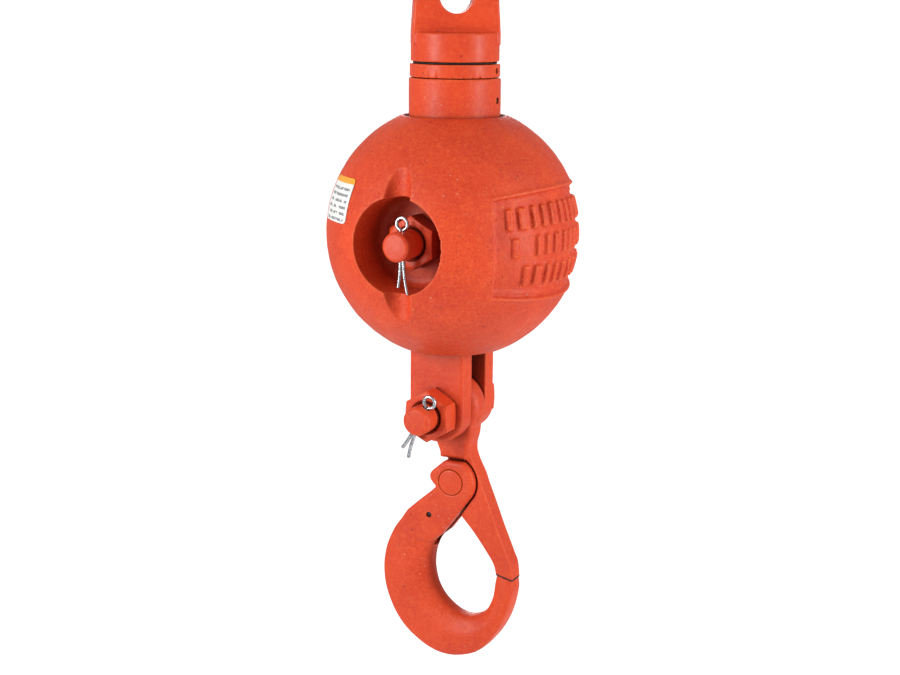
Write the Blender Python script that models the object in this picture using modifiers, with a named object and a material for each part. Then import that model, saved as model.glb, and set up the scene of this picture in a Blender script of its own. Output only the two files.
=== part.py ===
"""Overhaul ball with a swivel top eye and a self-locking eye hook.

A cast ball hangs on a forged jaw body. The top of the body is the barrel of a ball-bearing swivel,
whose eye turns freely. Its lower end is a fork, and a bolt in the fork carries the hook: a body with
an eye and a latch arm, and a bowl that turns on a pivot pin and is held shut by a trigger.

Units are metres, +Z is up and Z = 0 is the lowest point of the hook. The swivel axis is the Z axis.
Every bolt lies along Y with its nut on the -Y side, and the hook lies in the XZ plane.
Hook outlines are in millimetres from the hook bolt's axis, as (x, z).
"""

import math

import bmesh
import bpy
from mathutils import Vector

MM = 0.001
GAP = 0.0003

# Levels of the three main axes
BALL_Z = 0.4495
HOOK_BOLT_Z = BALL_Z - 0.179

# Ball
BALL_RADIUS = 0.127
BALL_FLAT_RADIUS = 0.0517
BALL_BORE_RADIUS = 0.0476
POCKET_RADIUS = 0.0465
POCKET_FLOOR = 0.069
GROOVE_RADIUS = 0.0145
GROOVE_OFFSET = 0.112
GROOVE_HALF_LENGTH = 0.090
PANEL_DEPTH = 0.0055
PANEL_LATITUDE = math.radians(24)
PANEL_EDGE_ANGLE = math.radians(45)
LABEL_AZIMUTHS = (math.radians(-52), math.radians(-28))
LABEL_LATITUDES = (math.radians(7.5), math.radians(27.5))
LABEL_THICKNESS = 0.0005

# Swivel, heights from the ball's centre
SWIVEL_REST_ANGLE = math.radians(32)
BARREL_RADIUS = 0.0452
BARREL_TOP = 0.1525
CAVITY_RADIUS = 0.036
CAVITY_FLOOR = 0.080
CAP_TOP = 0.1660
CAP_RADIUS = 0.0443
SHANK_RADIUS = 0.019
SHANK_END = 0.086
COLLAR_BOTTOM = 0.1682
COLLAR_TOP = 0.196
COLLAR_RADIUS = 0.0434
TANG_HALF_THICKNESS = 0.0185
TANG_HOLE_Z = 0.2305
TANG_HOLE_RADIUS = 0.0167
TANG_TOP_RADIUS = 0.0405
BEARING_RADIUS = 0.0275
BEARING_BALL_RADIUS = 0.0062
BEARING_BALLS = 10
BEARING_Z = 0.1275
RACE_INNER = 0.0210
RACE_OUTER = 0.0345
RACE_NEAR = 0.0030
UPPER_RACE_TOP = 0.0117
LOWER_RACE_BOTTOM = 0.0095
CAGE_HALF_HEIGHT = 0.0022
NUT_BOTTOM = 0.090
NUT_OUTER = 0.0310
NUT_PIN_Z = 0.099
NUT_PIN_RADIUS = 0.0030
SIDE_AZIMUTH = math.radians(94)
SET_SCREW_Z = 0.1597
SET_SCREW_RADIUS = 0.0027
FITTING_Z = 0.131

# Fork
ARM_WIDTH = 0.0610
FORK_SPREAD = 0.0710
FORK_GAP = 0.0316
ARM_END_RADIUS = 0.0315
SLOT_TOP = -0.098

# Bolts and nuts
BOLT_RADIUS = 0.0143
HEX_FLATS = 0.046
NUT_HEIGHT = 0.022
HEAD_HEIGHT = 0.018
BALL_BOLT_END = 0.121
HOOK_BOLT_END = 0.0795
BALL_COTTER_Y = 0.1065
HOOK_COTTER_Y = 0.0675
COTTER_WIRE = 0.0014
COTTER_HOLE = 0.0036
BALL_COTTER_LEG = 0.0300
HOOK_COTTER_LEG = 0.0260
HOOK_COTTER_TILT = math.radians(27)

# Hook
EYE_RADIUS = 0.0355
EYE_HALF_THICKNESS = 0.0150
NECK_HALF_THICKNESS = 0.0130
ARM_HALF_THICKNESS = 0.0100
CHEEK_HALF_THICKNESS = 0.0170
TONGUE_HALF_THICKNESS = 0.0066
SLOT_HALF_WIDTH = 0.0070
PIVOT = (7.5, -78.0)
PIVOT_HEAD_RADIUS = 0.0134
PIVOT_HEAD_HEIGHT = 0.0050
PIVOT_SHANK_RADIUS = 0.0090
CHEEK_RADIUS = 26.0
CHEEK_TOP = 22.5
SHOULDER_GAP = 1.2
CAM_RADIUS = 17.5
CAM_NOTCH_RADIUS = 13.4
NOSE_TOP = 172.0
NOSE_BOTTOM = 188.0
RAMP_END = 143.0
TRIGGER_PIN = (-17.2, -116.6)
TRIGGER_PIN_RADIUS = 0.0026
TRIGGER_HALF_THICKNESS = 0.0062
SPRING_RADIUS = 0.0034
SPRING_WIRE = 0.0005
SPRING_TURNS = 4
SPRING_LENGTH = 0.0098
SPRING_OFFSET = -0.0005
SHANK_DIRECTION = Vector((-0.55, 0, -0.835)).normalized()
SLOT_DEPTH = 0.075

# Paint and metal: colour, roughness, metallic
RED_CASTING = ((0.72, 0.09, 0.025, 1), 0.55, 0.0)
RED_FORGING = ((0.74, 0.10, 0.03, 1), 0.50, 0.0)
RED_TURNED = ((0.74, 0.12, 0.04, 1), 0.42, 0.0)
ZINC = ((0.78, 0.80, 0.82, 1), 0.30, 1.0)
STEEL = ((0.45, 0.46, 0.48, 1), 0.35, 1.0)
BEARING_STEEL = ((0.70, 0.71, 0.73, 1), 0.15, 1.0)
BRASS = ((0.65, 0.50, 0.22, 1), 0.35, 1.0)
BLACK_RUBBER = ((0.02, 0.02, 0.02, 1), 0.70, 0.0)
BLACK_OXIDE = ((0.04, 0.04, 0.045, 1), 0.45, 0.8)
WHITE_VINYL = ((0.86, 0.86, 0.84, 1), 0.45, 0.0)

TURN = 2 * math.pi
THROUGH = 0.1  # half length of a drill that goes through


# ---------------------------------------------------------------- scene, collections and materials


def start():
    """Empties the scene and makes the two collections."""
    for thing in list(bpy.data.objects):
        bpy.data.objects.remove(thing)
    made = []
    for name in ("crane_hook_block", "cutters"):
        collection = bpy.data.collections.new(name)
        bpy.context.scene.collection.children.link(collection)
        made.append(collection)
    return made


PARTS, CUTTERS = start()


def finish_part(obj, name, look):
    """Names a sub-part, gives it its own material and shades it smooth with crisp edges."""
    obj.name = name
    obj.data.name = name
    colour, roughness, metallic = look
    material = bpy.data.materials.new(name)
    material.use_nodes = True
    shader = material.node_tree.nodes["Principled BSDF"]
    shader.inputs["Base Color"].default_value = colour
    shader.inputs["Roughness"].default_value = roughness
    shader.inputs["Metallic"].default_value = metallic
    obj.data.materials.clear()
    obj.data.materials.append(material)
    obj.data.shade_smooth()
    obj.data.set_sharp_from_angle(angle=math.radians(35))
    CUTTERS.objects.unlink(obj)
    PARTS.objects.link(obj)
    return obj


def tool(mesh, parent=None, location=(0, 0, 0), rotation=(0, 0, 0)):
    """A hidden working object. finish_part turns it into a sub-part."""
    obj = bpy.data.objects.new(mesh.name, mesh)
    CUTTERS.objects.link(obj)
    obj.parent = parent
    obj.location = location
    obj.rotation_euler = rotation
    return obj


def hide_tools():
    for obj in CUTTERS.objects:
        obj.hide_render = True
        obj.display_type = "WIRE"


def frame(name, location, parent=None):
    """An empty on a joint's axis, which a moving body's pieces are parented to."""
    empty = bpy.data.objects.new(name, None)
    empty.location = location
    empty.parent = parent
    PARTS.objects.link(empty)
    return empty


def combine(obj, other, operation):
    modifier = obj.modifiers.new(operation.lower(), "BOOLEAN")
    modifier.operation = operation
    modifier.solver = "EXACT"
    modifier.object = other
    return obj


def cut(obj, *cutters):
    for cutter in cutters:
        combine(obj, cutter, "DIFFERENCE")
    return obj


def join(obj, *others):
    for other in others:
        combine(obj, other, "UNION")
    return obj


# ---------------------------------------------------------------- shapes


def turned(name, profile, steps=32, closed=False, **place):
    """A lathe shape about Z from (radius, height) points that run down the outer side."""
    mesh = bpy.data.meshes.new(name)
    edges = [(i, i + 1) for i in range(len(profile) - 1)]
    if closed:
        edges.append((len(profile) - 1, 0))
    mesh.from_pydata([(radius, 0, height) for radius, height in profile], edges, [])
    obj = tool(mesh, **place)
    screw = obj.modifiers.new("lathe", "SCREW")
    screw.axis = "Z"
    screw.angle = TURN
    screw.steps = screw.render_steps = steps
    screw.use_merge_vertices = True
    screw.merge_threshold = 0.00001
    return obj


def chamfered(radius, bottom, top, chamfer):
    """The outer corners of a bar or a ring, top first."""
    if not chamfer:
        return [(radius, top), (radius, bottom)]
    return [
        (radius - chamfer, top),
        (radius, top - chamfer),
        (radius, bottom + chamfer),
        (radius - chamfer, bottom),
    ]


def rod(name, radius, bottom, top, steps=24, chamfer=0.0, **place):
    """A solid round bar along Z, with an optional chamfer on both ends."""
    profile = [(0, top), *chamfered(radius, bottom, top, chamfer), (0, bottom)]
    return turned(name, profile, steps, **place)


def tube(name, inner, outer, bottom, top, steps=32, chamfer=0.0, **place):
    """A plain ring about Z, with an optional chamfer on its outer corners."""
    profile = [(inner, top), *chamfered(outer, bottom, top, chamfer), (inner, bottom)]
    return turned(name, profile, steps, closed=True, **place)


def drill(name, radius, steps=24, **place):
    """A cutter for a round hole that goes right through."""
    return rod(name, radius, -THROUGH, THROUGH, steps, **place)


def box(name, size, **place):
    mesh = bpy.data.meshes.new(name)
    shape = bmesh.new()
    bmesh.ops.create_cube(shape, size=1.0)
    bmesh.ops.scale(shape, vec=size, verts=shape.verts)
    shape.to_mesh(mesh)
    shape.free()
    return tool(mesh, **place)


def hexagon(name, bottom, top, **place):
    """A hexagon bar along Z with a corner towards +Y, its corners chamfered at both ends."""
    corner = HEX_FLATS / 2 / math.cos(math.radians(30))
    mesh = bpy.data.meshes.new(name)
    shape = bmesh.new()
    bmesh.ops.create_cone(
        shape, cap_ends=True, segments=6, radius1=corner, radius2=corner, depth=top - bottom
    )
    bmesh.ops.translate(shape, vec=(0, 0, (top + bottom) / 2), verts=shape.verts)
    shape.to_mesh(mesh)
    shape.free()
    obj = tool(mesh, **place)
    flat = HEX_FLATS / 2 - 0.0006
    rise = 0.0030
    wide = corner + 0.002
    cone = [
        (0, top + MM),
        (flat - MM, top + MM * 0.5),
        (wide, top - rise),
        (wide, bottom + rise),
        (flat - MM, bottom - MM * 0.5),
        (0, bottom - MM),
    ]
    return combine(obj, turned(name + "_chamfer", cone, 24, **place), "INTERSECT")


def arc(centre, radius, start, end, steps):
    """Points on an arc, with both ends. Angles are in degrees from +x towards +z."""
    angles = [math.radians(start + (end - start) * i / steps) for i in range(steps + 1)]
    return [(centre[0] + radius * math.cos(a), centre[1] + radius * math.sin(a)) for a in angles]


def spline(points, t):
    """A point on the Catmull-Rom curve through a list of points, t from 0 to 1."""
    place = t * (len(points) - 1)
    i = min(int(place), len(points) - 2)
    f = place - i
    p1, p2 = points[i], points[i + 1]
    p0 = points[i - 1] if i else [2 * a - b for a, b in zip(p1, p2)]
    p3 = points[i + 2] if i + 2 < len(points) else [2 * b - a for a, b in zip(p1, p2)]
    return [
        0.5 * (2 * b + (c - a) * f + (2 * a - 5 * b + 4 * c - d) * f * f + (3 * b - a - 3 * c + d) * f**3)
        for a, b, c, d in zip(p0, p1, p2, p3)
    ]


def through(points, steps):
    """A smooth run through a few points."""
    return [spline(points, i / steps) for i in range(steps + 1)]


def plate(name, outline, half_thickness, chamfer, **place):
    """A flat outline in millimetres (x, z), made solid along Y with chamfered edges."""
    curve = bpy.data.curves.new(name, "CURVE")
    curve.dimensions = "2D"
    curve.fill_mode = "BOTH"
    curve.extrude = half_thickness - chamfer
    curve.bevel_depth = chamfer
    curve.bevel_resolution = 0
    curve.offset = -chamfer
    line = curve.splines.new("POLY")
    line.points.add(len(outline) - 1)
    for point, (x, z) in zip(line.points, outline):
        point.co = (x * MM, z * MM, 0, 1)
    line.use_cyclic_u = True
    mesh = curve_mesh(name, curve)
    shape = bmesh.new()
    shape.from_mesh(mesh)
    for vert in shape.verts:
        vert.co = (vert.co.x, -vert.co.z, vert.co.y)
    bmesh.ops.recalc_face_normals(shape, faces=shape.faces)
    shape.to_mesh(mesh)
    shape.free()
    return tool(mesh, **place)


def curve_mesh(name, curve):
    """The closed mesh of a curve, its caps welded. The curve is removed."""
    obj = bpy.data.objects.new(name, curve)
    bpy.context.scene.collection.objects.link(obj)
    graph = bpy.context.evaluated_depsgraph_get()
    mesh = bpy.data.meshes.new_from_object(obj.evaluated_get(graph))
    bpy.data.objects.remove(obj)
    shape = bmesh.new()
    shape.from_mesh(mesh)
    bmesh.ops.remove_doubles(shape, verts=shape.verts, dist=0.000005)
    bmesh.ops.recalc_face_normals(shape, faces=shape.faces)
    shape.to_mesh(mesh)
    shape.free()
    return mesh


def wire(name, points, radius, resolution=1, **place):
    """A round wire through points, with filled ends."""
    curve = bpy.data.curves.new(name, "CURVE")
    curve.dimensions = "3D"
    curve.bevel_depth = radius
    curve.bevel_resolution = resolution
    curve.use_fill_caps = True
    line = curve.splines.new("POLY")
    line.points.add(len(points) - 1)
    for point, co in zip(line.points, points):
        point.co = (*co, 1)
    return tool(curve_mesh(name, curve), **place)


def loft(name, rings, **place):
    """A closed skin over rings that have the same number of points."""
    shape = bmesh.new()
    loops = [[shape.verts.new(co) for co in ring] for ring in rings]
    count = len(rings[0])
    for low, high in zip(loops, loops[1:]):
        for i in range(count):
            j = (i + 1) % count
            shape.faces.new((low[i], low[j], high[j], high[i]))
    shape.faces.new(loops[0])
    shape.faces.new(loops[-1])
    bmesh.ops.recalc_face_normals(shape, faces=shape.faces)
    mesh = bpy.data.meshes.new(name)
    shape.to_mesh(mesh)
    shape.free()
    return tool(mesh, **place)


ALONG_Y = (math.pi / 2, 0, 0)  # turns a shape's +Z to the nut side, -Y


def cotter(name, leg, place):
    """A split pin through a bolt: an eye above, and two legs that spread below."""
    side = COTTER_WIRE + 0.00025
    eye_radius = 0.0048
    splay = 0.0045
    start = math.asin(side / eye_radius)
    centre = BOLT_RADIUS + eye_radius * math.cos(start) + 0.001
    eye = [
        (eye_radius * math.sin(a), 0, centre - eye_radius * math.cos(a))
        for a in (start + (TURN - 2 * start) * i / 14 for i in range(15))
    ]
    bend = -BOLT_RADIUS - 0.002
    right = [(side + splay * f * f, 0, bend - leg * f) for f in (1.0, 0.6, 0.3, 0.0)]
    left = [(-side - splay * 0.5 * f * f, 0, bend - leg * 0.8 * f) for f in (0.0, 0.3, 0.6, 1.0)]
    return finish_part(wire(name, right + eye + left, COTTER_WIRE, **place), name, ZINC)


# ---------------------------------------------------------------- frames of the moving bodies

EYE_FRAME = frame("eye_frame", (0, 0, BALL_Z))
BLOCK_FRAME = frame("block_frame", (0, 0, BALL_Z))
CAGE_FRAME = frame("cage_frame", (0, 0, BALL_Z + BEARING_Z))
HOOK_FRAME = frame("hook_frame", (0, 0, HOOK_BOLT_Z))
BOWL_FRAME = frame("bowl_frame", (PIVOT[0] * MM, 0, PIVOT[1] * MM), HOOK_FRAME)
TRIGGER_FRAME = frame(
    "trigger_frame",
    ((TRIGGER_PIN[0] - PIVOT[0]) * MM, 0, (TRIGGER_PIN[1] - PIVOT[1]) * MM),
    BOWL_FRAME,
)
TRIGGER_PIN_PLACE = {"parent": BOWL_FRAME, "location": TRIGGER_FRAME.location, "rotation": ALONG_Y}
FROM_PIVOT = (-PIVOT[0] * MM, 0, -PIVOT[1] * MM)
FROM_TRIGGER_PIN = (-TRIGGER_PIN[0] * MM, 0, -TRIGGER_PIN[1] * MM)


NUT_PIN_PLACE = {"parent": EYE_FRAME, "location": (0, 0, NUT_PIN_Z), "rotation": ALONG_Y}


# ---------------------------------------------------------------- swivel eye and bearing


def top_eye():
    """Round collar with a flat tang above it and a long shank below."""
    slope = 0.002
    collar = turned(
        "top_eye",
        [
            (0, COLLAR_TOP),
            (COLLAR_RADIUS - slope, COLLAR_TOP),
            (COLLAR_RADIUS, COLLAR_TOP - slope),
            (COLLAR_RADIUS, COLLAR_BOTTOM + 0.001),
            (COLLAR_RADIUS - 0.001, COLLAR_BOTTOM),
            (SHANK_RADIUS, COLLAR_BOTTOM),
            (SHANK_RADIUS, SHANK_END + slope),
            (SHANK_RADIUS - slope, SHANK_END),
            (0, SHANK_END),
        ],
        36,
        parent=EYE_FRAME,
    )
    base = COLLAR_TOP / MM - 12
    half = COLLAR_RADIUS / MM - 0.6
    hole = (0, TANG_HOLE_Z / MM)
    outline = [(-half, base), (half, base), (half, base + 12)]
    outline += arc(hole, TANG_TOP_RADIUS / MM, 4, 176, 18)
    outline += [(-half, base + 12)]
    tang = plate(
        "tang", outline, TANG_HALF_THICKNESS, 0.0022, parent=EYE_FRAME, rotation=(0, 0, SWIVEL_REST_ANGLE)
    )
    bore_place = {
        "parent": EYE_FRAME,
        "location": (0, 0, TANG_HOLE_Z),
        "rotation": (math.pi / 2, 0, SWIVEL_REST_ANGLE),
    }
    bore = drill("tang_bore", TANG_HOLE_RADIUS, 32, **bore_place)
    pin_hole = drill("shank_pin_hole", NUT_PIN_RADIUS + GAP, 12, **NUT_PIN_PLACE)
    join(collar, tang)
    cut(collar, bore, pin_hole)
    return finish_part(collar, "top_eye", RED_TURNED)


def dust_seal():
    """Rubber ring in the gap between the collar and the cap."""
    ring = tube(
        "dust_seal", 0.0210, 0.0415, CAP_TOP + GAP, COLLAR_BOTTOM - GAP, 32, parent=EYE_FRAME
    )
    return finish_part(ring, "dust_seal", BLACK_RUBBER)


def swivel_cap():
    """Ring with a skirt that screws into the barrel and holds the bearing down."""
    seat = BARREL_TOP + 0.0006
    ring = turned(
        "swivel_cap",
        [
            (0.0200, CAP_TOP),
            (CAP_RADIUS - 0.0008, CAP_TOP),
            (CAP_RADIUS, CAP_TOP - 0.0008),
            (CAP_RADIUS, seat + 0.0006),
            (CAP_RADIUS - 0.0006, seat),
            (CAVITY_RADIUS - GAP, seat),
            (CAVITY_RADIUS - GAP, 0.1395),
            (0.0200, 0.1395),
        ],
        36,
        closed=True,
        parent=BLOCK_FRAME,
    )
    hole = rod("set_screw_hole", SET_SCREW_RADIUS + GAP, 0.036, 0.05, 16, **radial(SET_SCREW_Z))
    cut(ring, hole)
    return finish_part(ring, "swivel_cap", RED_TURNED)


def radial(height):
    """Places a shape so that its +Z points out of the barrel's side."""
    return {
        "parent": BLOCK_FRAME,
        "location": (0, 0, height),
        "rotation": (math.pi / 2, 0, SIDE_AZIMUTH),
    }


def cap_set_screw():
    screw = rod("cap_set_screw", SET_SCREW_RADIUS, 0.0363, 0.0425, 16, **radial(SET_SCREW_Z))
    socket = rod("socket", 0.0014, 0.0395, 0.045, 6, **radial(SET_SCREW_Z))
    return finish_part(cut(screw, socket), "cap_set_screw", BLACK_OXIDE)


def grease_fitting():
    """Nipple that sits in a counterbore, so that nothing stands out of the barrel."""
    fitting = turned(
        "grease_fitting",
        [
            (0, 0.0442),
            (0.0011, 0.0442),
            (0.0016, 0.0435),
            (0.0012, 0.0425),
            (0.0015, 0.0418),
            (0.0028, 0.0416),
            (0.0028, 0.0400),
            (0.0020, 0.0400),
            (0.0020, 0.0368),
            (0, 0.0368),
        ],
        16,
        **radial(FITTING_Z),
    )
    return finish_part(fitting, "grease_fitting", BRASS)


def race(name, near, far, parent):
    """Bearing ring with a groove that the balls run in. near is the side towards the balls."""
    groove = BEARING_BALL_RADIUS + GAP
    centre = (BEARING_RADIUS / MM, 0)
    side = 1 if near > 0 else -1
    half_angle = math.degrees(math.acos(near * side / groove))
    middle = 90 * side
    run = arc(centre, groove / MM, middle + half_angle * side, middle - half_angle * side, 4)
    groove_points = [(radius * MM, height * MM) for radius, height in run]
    profile = [(RACE_INNER, near), *groove_points, (RACE_OUTER, near), (RACE_OUTER, far), (RACE_INNER, far)]
    if side > 0:
        profile.reverse()
    ring = turned(name, profile, 24, closed=True, parent=parent, location=(0, 0, BEARING_Z))
    return finish_part(ring, name, BEARING_STEEL)


def bearing():
    """Two races, a cage and its balls. The cage turns on its own, at half the eye's speed."""
    race("bearing_upper_race", RACE_NEAR, UPPER_RACE_TOP, BLOCK_FRAME)
    race("bearing_lower_race", -RACE_NEAR, -LOWER_RACE_BOTTOM, EYE_FRAME)
    half = CAGE_HALF_HEIGHT
    cage = tube("bearing_cage", 0.0196, 0.0354, -half, half, 32, parent=CAGE_FRAME)
    for i in range(BEARING_BALLS):
        angle = TURN * i / BEARING_BALLS
        spot = (BEARING_RADIUS * math.cos(angle), BEARING_RADIUS * math.sin(angle), 0)
        cut(cage, drill("ball_pocket", BEARING_BALL_RADIUS + GAP, 12, parent=CAGE_FRAME, location=spot))
        mesh = bpy.data.meshes.new("bearing_ball")
        shape = bmesh.new()
        bmesh.ops.create_uvsphere(shape, u_segments=10, v_segments=6, radius=BEARING_BALL_RADIUS)
        shape.to_mesh(mesh)
        shape.free()
        ball = tool(mesh, parent=CAGE_FRAME, location=spot)
        finish_part(ball, f"bearing_ball_{i + 1:02d}", BEARING_STEEL)
    finish_part(cage, "bearing_cage", BRASS)


def shank_nut():
    """Round nut on the eye's shank, under the lower race, with its locking pin."""
    top = BEARING_Z - LOWER_RACE_BOTTOM - GAP
    inner = SHANK_RADIUS + GAP
    nut = tube("shank_nut", inner, NUT_OUTER, NUT_BOTTOM, top, 24, 0.0015, parent=EYE_FRAME)
    cut(nut, drill("nut_pin_hole", NUT_PIN_RADIUS + GAP, 12, **NUT_PIN_PLACE))
    finish_part(nut, "shank_nut", STEEL)
    reach = NUT_OUTER - 0.0005
    pin = rod("shank_nut_pin", NUT_PIN_RADIUS, -reach, reach, 12, 0.0008, **NUT_PIN_PLACE)
    finish_part(pin, "shank_nut_pin", STEEL)


# ---------------------------------------------------------------- jaw body


def jaw_body():
    """Swivel barrel, solid core through the ball, and the fork, in one forging."""
    edge = 0.0008
    barrel = turned(
        "jaw_body",
        [
            (0, CAVITY_FLOOR),
            (CAVITY_RADIUS - 0.004, CAVITY_FLOOR),
            (CAVITY_RADIUS, CAVITY_FLOOR + 0.004),
            (CAVITY_RADIUS, BARREL_TOP),
            (BARREL_RADIUS - edge, BARREL_TOP),
            (BARREL_RADIUS, BARREL_TOP - edge),
            (BARREL_RADIUS, -0.100),
            (0, -0.100),
        ],
        40,
        parent=BLOCK_FRAME,
    )
    half = ARM_WIDTH / 2 / MM
    bolt = (0, (HOOK_BOLT_Z - BALL_Z) / MM)
    shoulder = math.degrees(math.acos(half / (ARM_END_RADIUS / MM)))
    outline = arc(bolt, ARM_END_RADIUS / MM, 180 + shoulder, 360 - shoulder, 18)
    outline += [(half, -85), (-half, -85)]
    fork = plate("fork", outline, FORK_SPREAD / 2, 0.0030, parent=BLOCK_FRAME)
    slot_bottom = -0.230
    slot_middle = (SLOT_TOP + slot_bottom) / 2
    slot = box(
        "slot", (0.12, FORK_GAP, SLOT_TOP - slot_bottom), parent=BLOCK_FRAME, location=(0, 0, slot_middle)
    )
    across = {"parent": BLOCK_FRAME, "rotation": ALONG_Y}
    bolt_hole = BOLT_RADIUS + GAP
    ball_hole = drill("ball_bolt_hole", bolt_hole, **across)
    hook_hole = drill("hook_bolt_hole", bolt_hole, location=(0, 0, HOOK_BOLT_Z - BALL_Z), **across)
    port = rod("grease_port", 0.0034, 0.0395, 0.06, 16, **radial(FITTING_Z))
    duct = rod("grease_duct", 0.0023, 0.030, 0.042, 12, **radial(FITTING_Z))
    join(barrel, fork)
    cut(barrel, slot, ball_hole, hook_hole, port, duct)
    return finish_part(barrel, "jaw_body", RED_FORGING)


# ---------------------------------------------------------------- ball


def sphere_height(radius):
    """Height of the ball's surface above its centre, at a distance from the swivel axis."""
    return math.sqrt(BALL_RADIUS**2 - radius**2)


def ball():
    """Cast ball with a bore, a bolt pocket and two grooves on each side, and a sunk panel."""
    top = sphere_height(BALL_FLAT_RADIUS)
    edge = math.degrees(math.atan2(top, BALL_FLAT_RADIUS))
    profile = [(r * MM, z * MM) for r, z in arc((0, 0), BALL_RADIUS / MM, edge, -edge, 14)]
    lip = 0.0014
    sink = 0.004
    profile += [
        (BALL_FLAT_RADIUS - lip, -top),
        (BALL_BORE_RADIUS, -top + sink),
        (BALL_BORE_RADIUS, top - sink),
        (BALL_FLAT_RADIUS - lip, top),
    ]
    obj = turned("overhaul_ball", profile, 40, closed=True, parent=BLOCK_FRAME)
    for side in (0, math.pi):
        pocket = turned(
            "pocket",
            [
                (0, 0.14),
                (POCKET_RADIUS + 0.001, 0.14),
                (POCKET_RADIUS, 0.110),
                (POCKET_RADIUS - 0.001, POCKET_FLOOR + 0.007),
                (POCKET_RADIUS - 0.003, POCKET_FLOOR + 0.002),
                (POCKET_RADIUS - 0.008, POCKET_FLOOR),
                (0, POCKET_FLOOR),
            ],
            24,
            parent=BLOCK_FRAME,
            rotation=(math.pi / 2, 0, side),
        )
        groove_y = -GROOVE_OFFSET if side == 0 else GROOVE_OFFSET
        reach = GROOVE_HALF_LENGTH
        place = {"parent": BLOCK_FRAME, "location": (0, groove_y, 0)}
        groove = rod("groove", GROOVE_RADIUS, -reach, reach, 16, **place)
        cut(obj, pocket, groove)
    cut(obj, drill("ball_bolt_hole", BOLT_RADIUS + GAP, parent=BLOCK_FRAME, rotation=ALONG_Y))
    cut(obj, panel_cutter())
    return finish_part(obj, "overhaul_ball", RED_CASTING)


def panel_cutter():
    """A quarter of a thick zone of the sphere, on the +X side."""
    low = math.degrees(-PANEL_LATITUDE)
    floor = (BALL_RADIUS - PANEL_DEPTH) / MM
    inner = [(r * MM, z * MM) for r, z in arc((0, 0), floor, low, -low, 6)]
    reach = BALL_RADIUS + 0.012
    z_end = inner[-1][1]
    zone = turned(
        "panel_zone",
        inner + [(reach, z_end + 0.006), (reach, -z_end - 0.006)],
        40,
        closed=True,
        parent=BLOCK_FRAME,
    )
    side = 0.2
    corner = side / 2
    quarter = box("panel_quarter", (side, side, side), parent=BLOCK_FRAME)
    turn = PANEL_EDGE_ANGLE
    quarter.rotation_euler = (0, 0, -turn)
    quarter.location = (corner * math.cos(turn) + corner * math.sin(turn), 0, 0)
    return combine(zone, quarter, "INTERSECT")


def ball_label():
    """Thin sticker that follows the ball."""
    columns, rows = 6, 5
    radius = BALL_RADIUS + GAP
    mesh = bpy.data.meshes.new("ball_label")
    verts = []
    for j in range(rows + 1):
        latitude = LABEL_LATITUDES[0] + (LABEL_LATITUDES[1] - LABEL_LATITUDES[0]) * j / rows
        for i in range(columns + 1):
            azimuth = LABEL_AZIMUTHS[0] + (LABEL_AZIMUTHS[1] - LABEL_AZIMUTHS[0]) * i / columns
            flat = radius * math.cos(latitude)
            verts.append((flat * math.sin(azimuth), -flat * math.cos(azimuth), radius * math.sin(latitude)))
    wide = columns + 1
    faces = [
        (j * wide + i, j * wide + i + 1, (j + 1) * wide + i + 1, (j + 1) * wide + i)
        for j in range(rows)
        for i in range(columns)
    ]
    mesh.from_pydata(verts, [], faces)
    obj = tool(mesh, parent=BLOCK_FRAME)
    skin = obj.modifiers.new("thickness", "SOLIDIFY")
    skin.thickness = LABEL_THICKNESS
    skin.offset = 1.0
    return finish_part(obj, "ball_label", WHITE_VINYL)


# ---------------------------------------------------------------- bolts


def bolt_set(prefix, level, seat, end, cotter_at, tilt, leg):
    """Hexagon bolt along Y, its nut and its cotter. Distances run from the middle to -Y."""
    place = {"parent": BLOCK_FRAME, "location": (0, 0, level), "rotation": ALONG_Y}
    head_top = -seat - GAP
    shank = rod(prefix + "_bolt", BOLT_RADIUS, head_top - 0.004, end, 24, 0.0015, **place)
    head = hexagon(prefix + "_head", head_top - HEAD_HEIGHT, head_top, **place)
    join(shank, head)
    across = {"parent": BLOCK_FRAME, "location": (0, -cotter_at, level), "rotation": (0, tilt, 0)}
    cut(shank, drill(prefix + "_cotter_hole", COTTER_HOLE, 16, **across))
    finish_part(shank, prefix + "_bolt", RED_TURNED)

    nut = hexagon(prefix + "_nut", seat + GAP, seat + NUT_HEIGHT, **place)
    bore = turned(
        prefix + "_nut_bore",
        [
            (0, 0.2),
            (BOLT_RADIUS + 0.0035, 0.2),
            (BOLT_RADIUS + 0.0030, seat + NUT_HEIGHT),
            (BOLT_RADIUS + GAP, seat + NUT_HEIGHT - 0.0025),
            (BOLT_RADIUS + GAP, seat - 0.002),
            (0, seat - 0.002),
        ],
        24,
        **place,
    )
    cut(nut, bore)
    finish_part(nut, prefix + "_nut", RED_TURNED)
    cotter(prefix + "_cotter", leg, across)


# ---------------------------------------------------------------- hook


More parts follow.
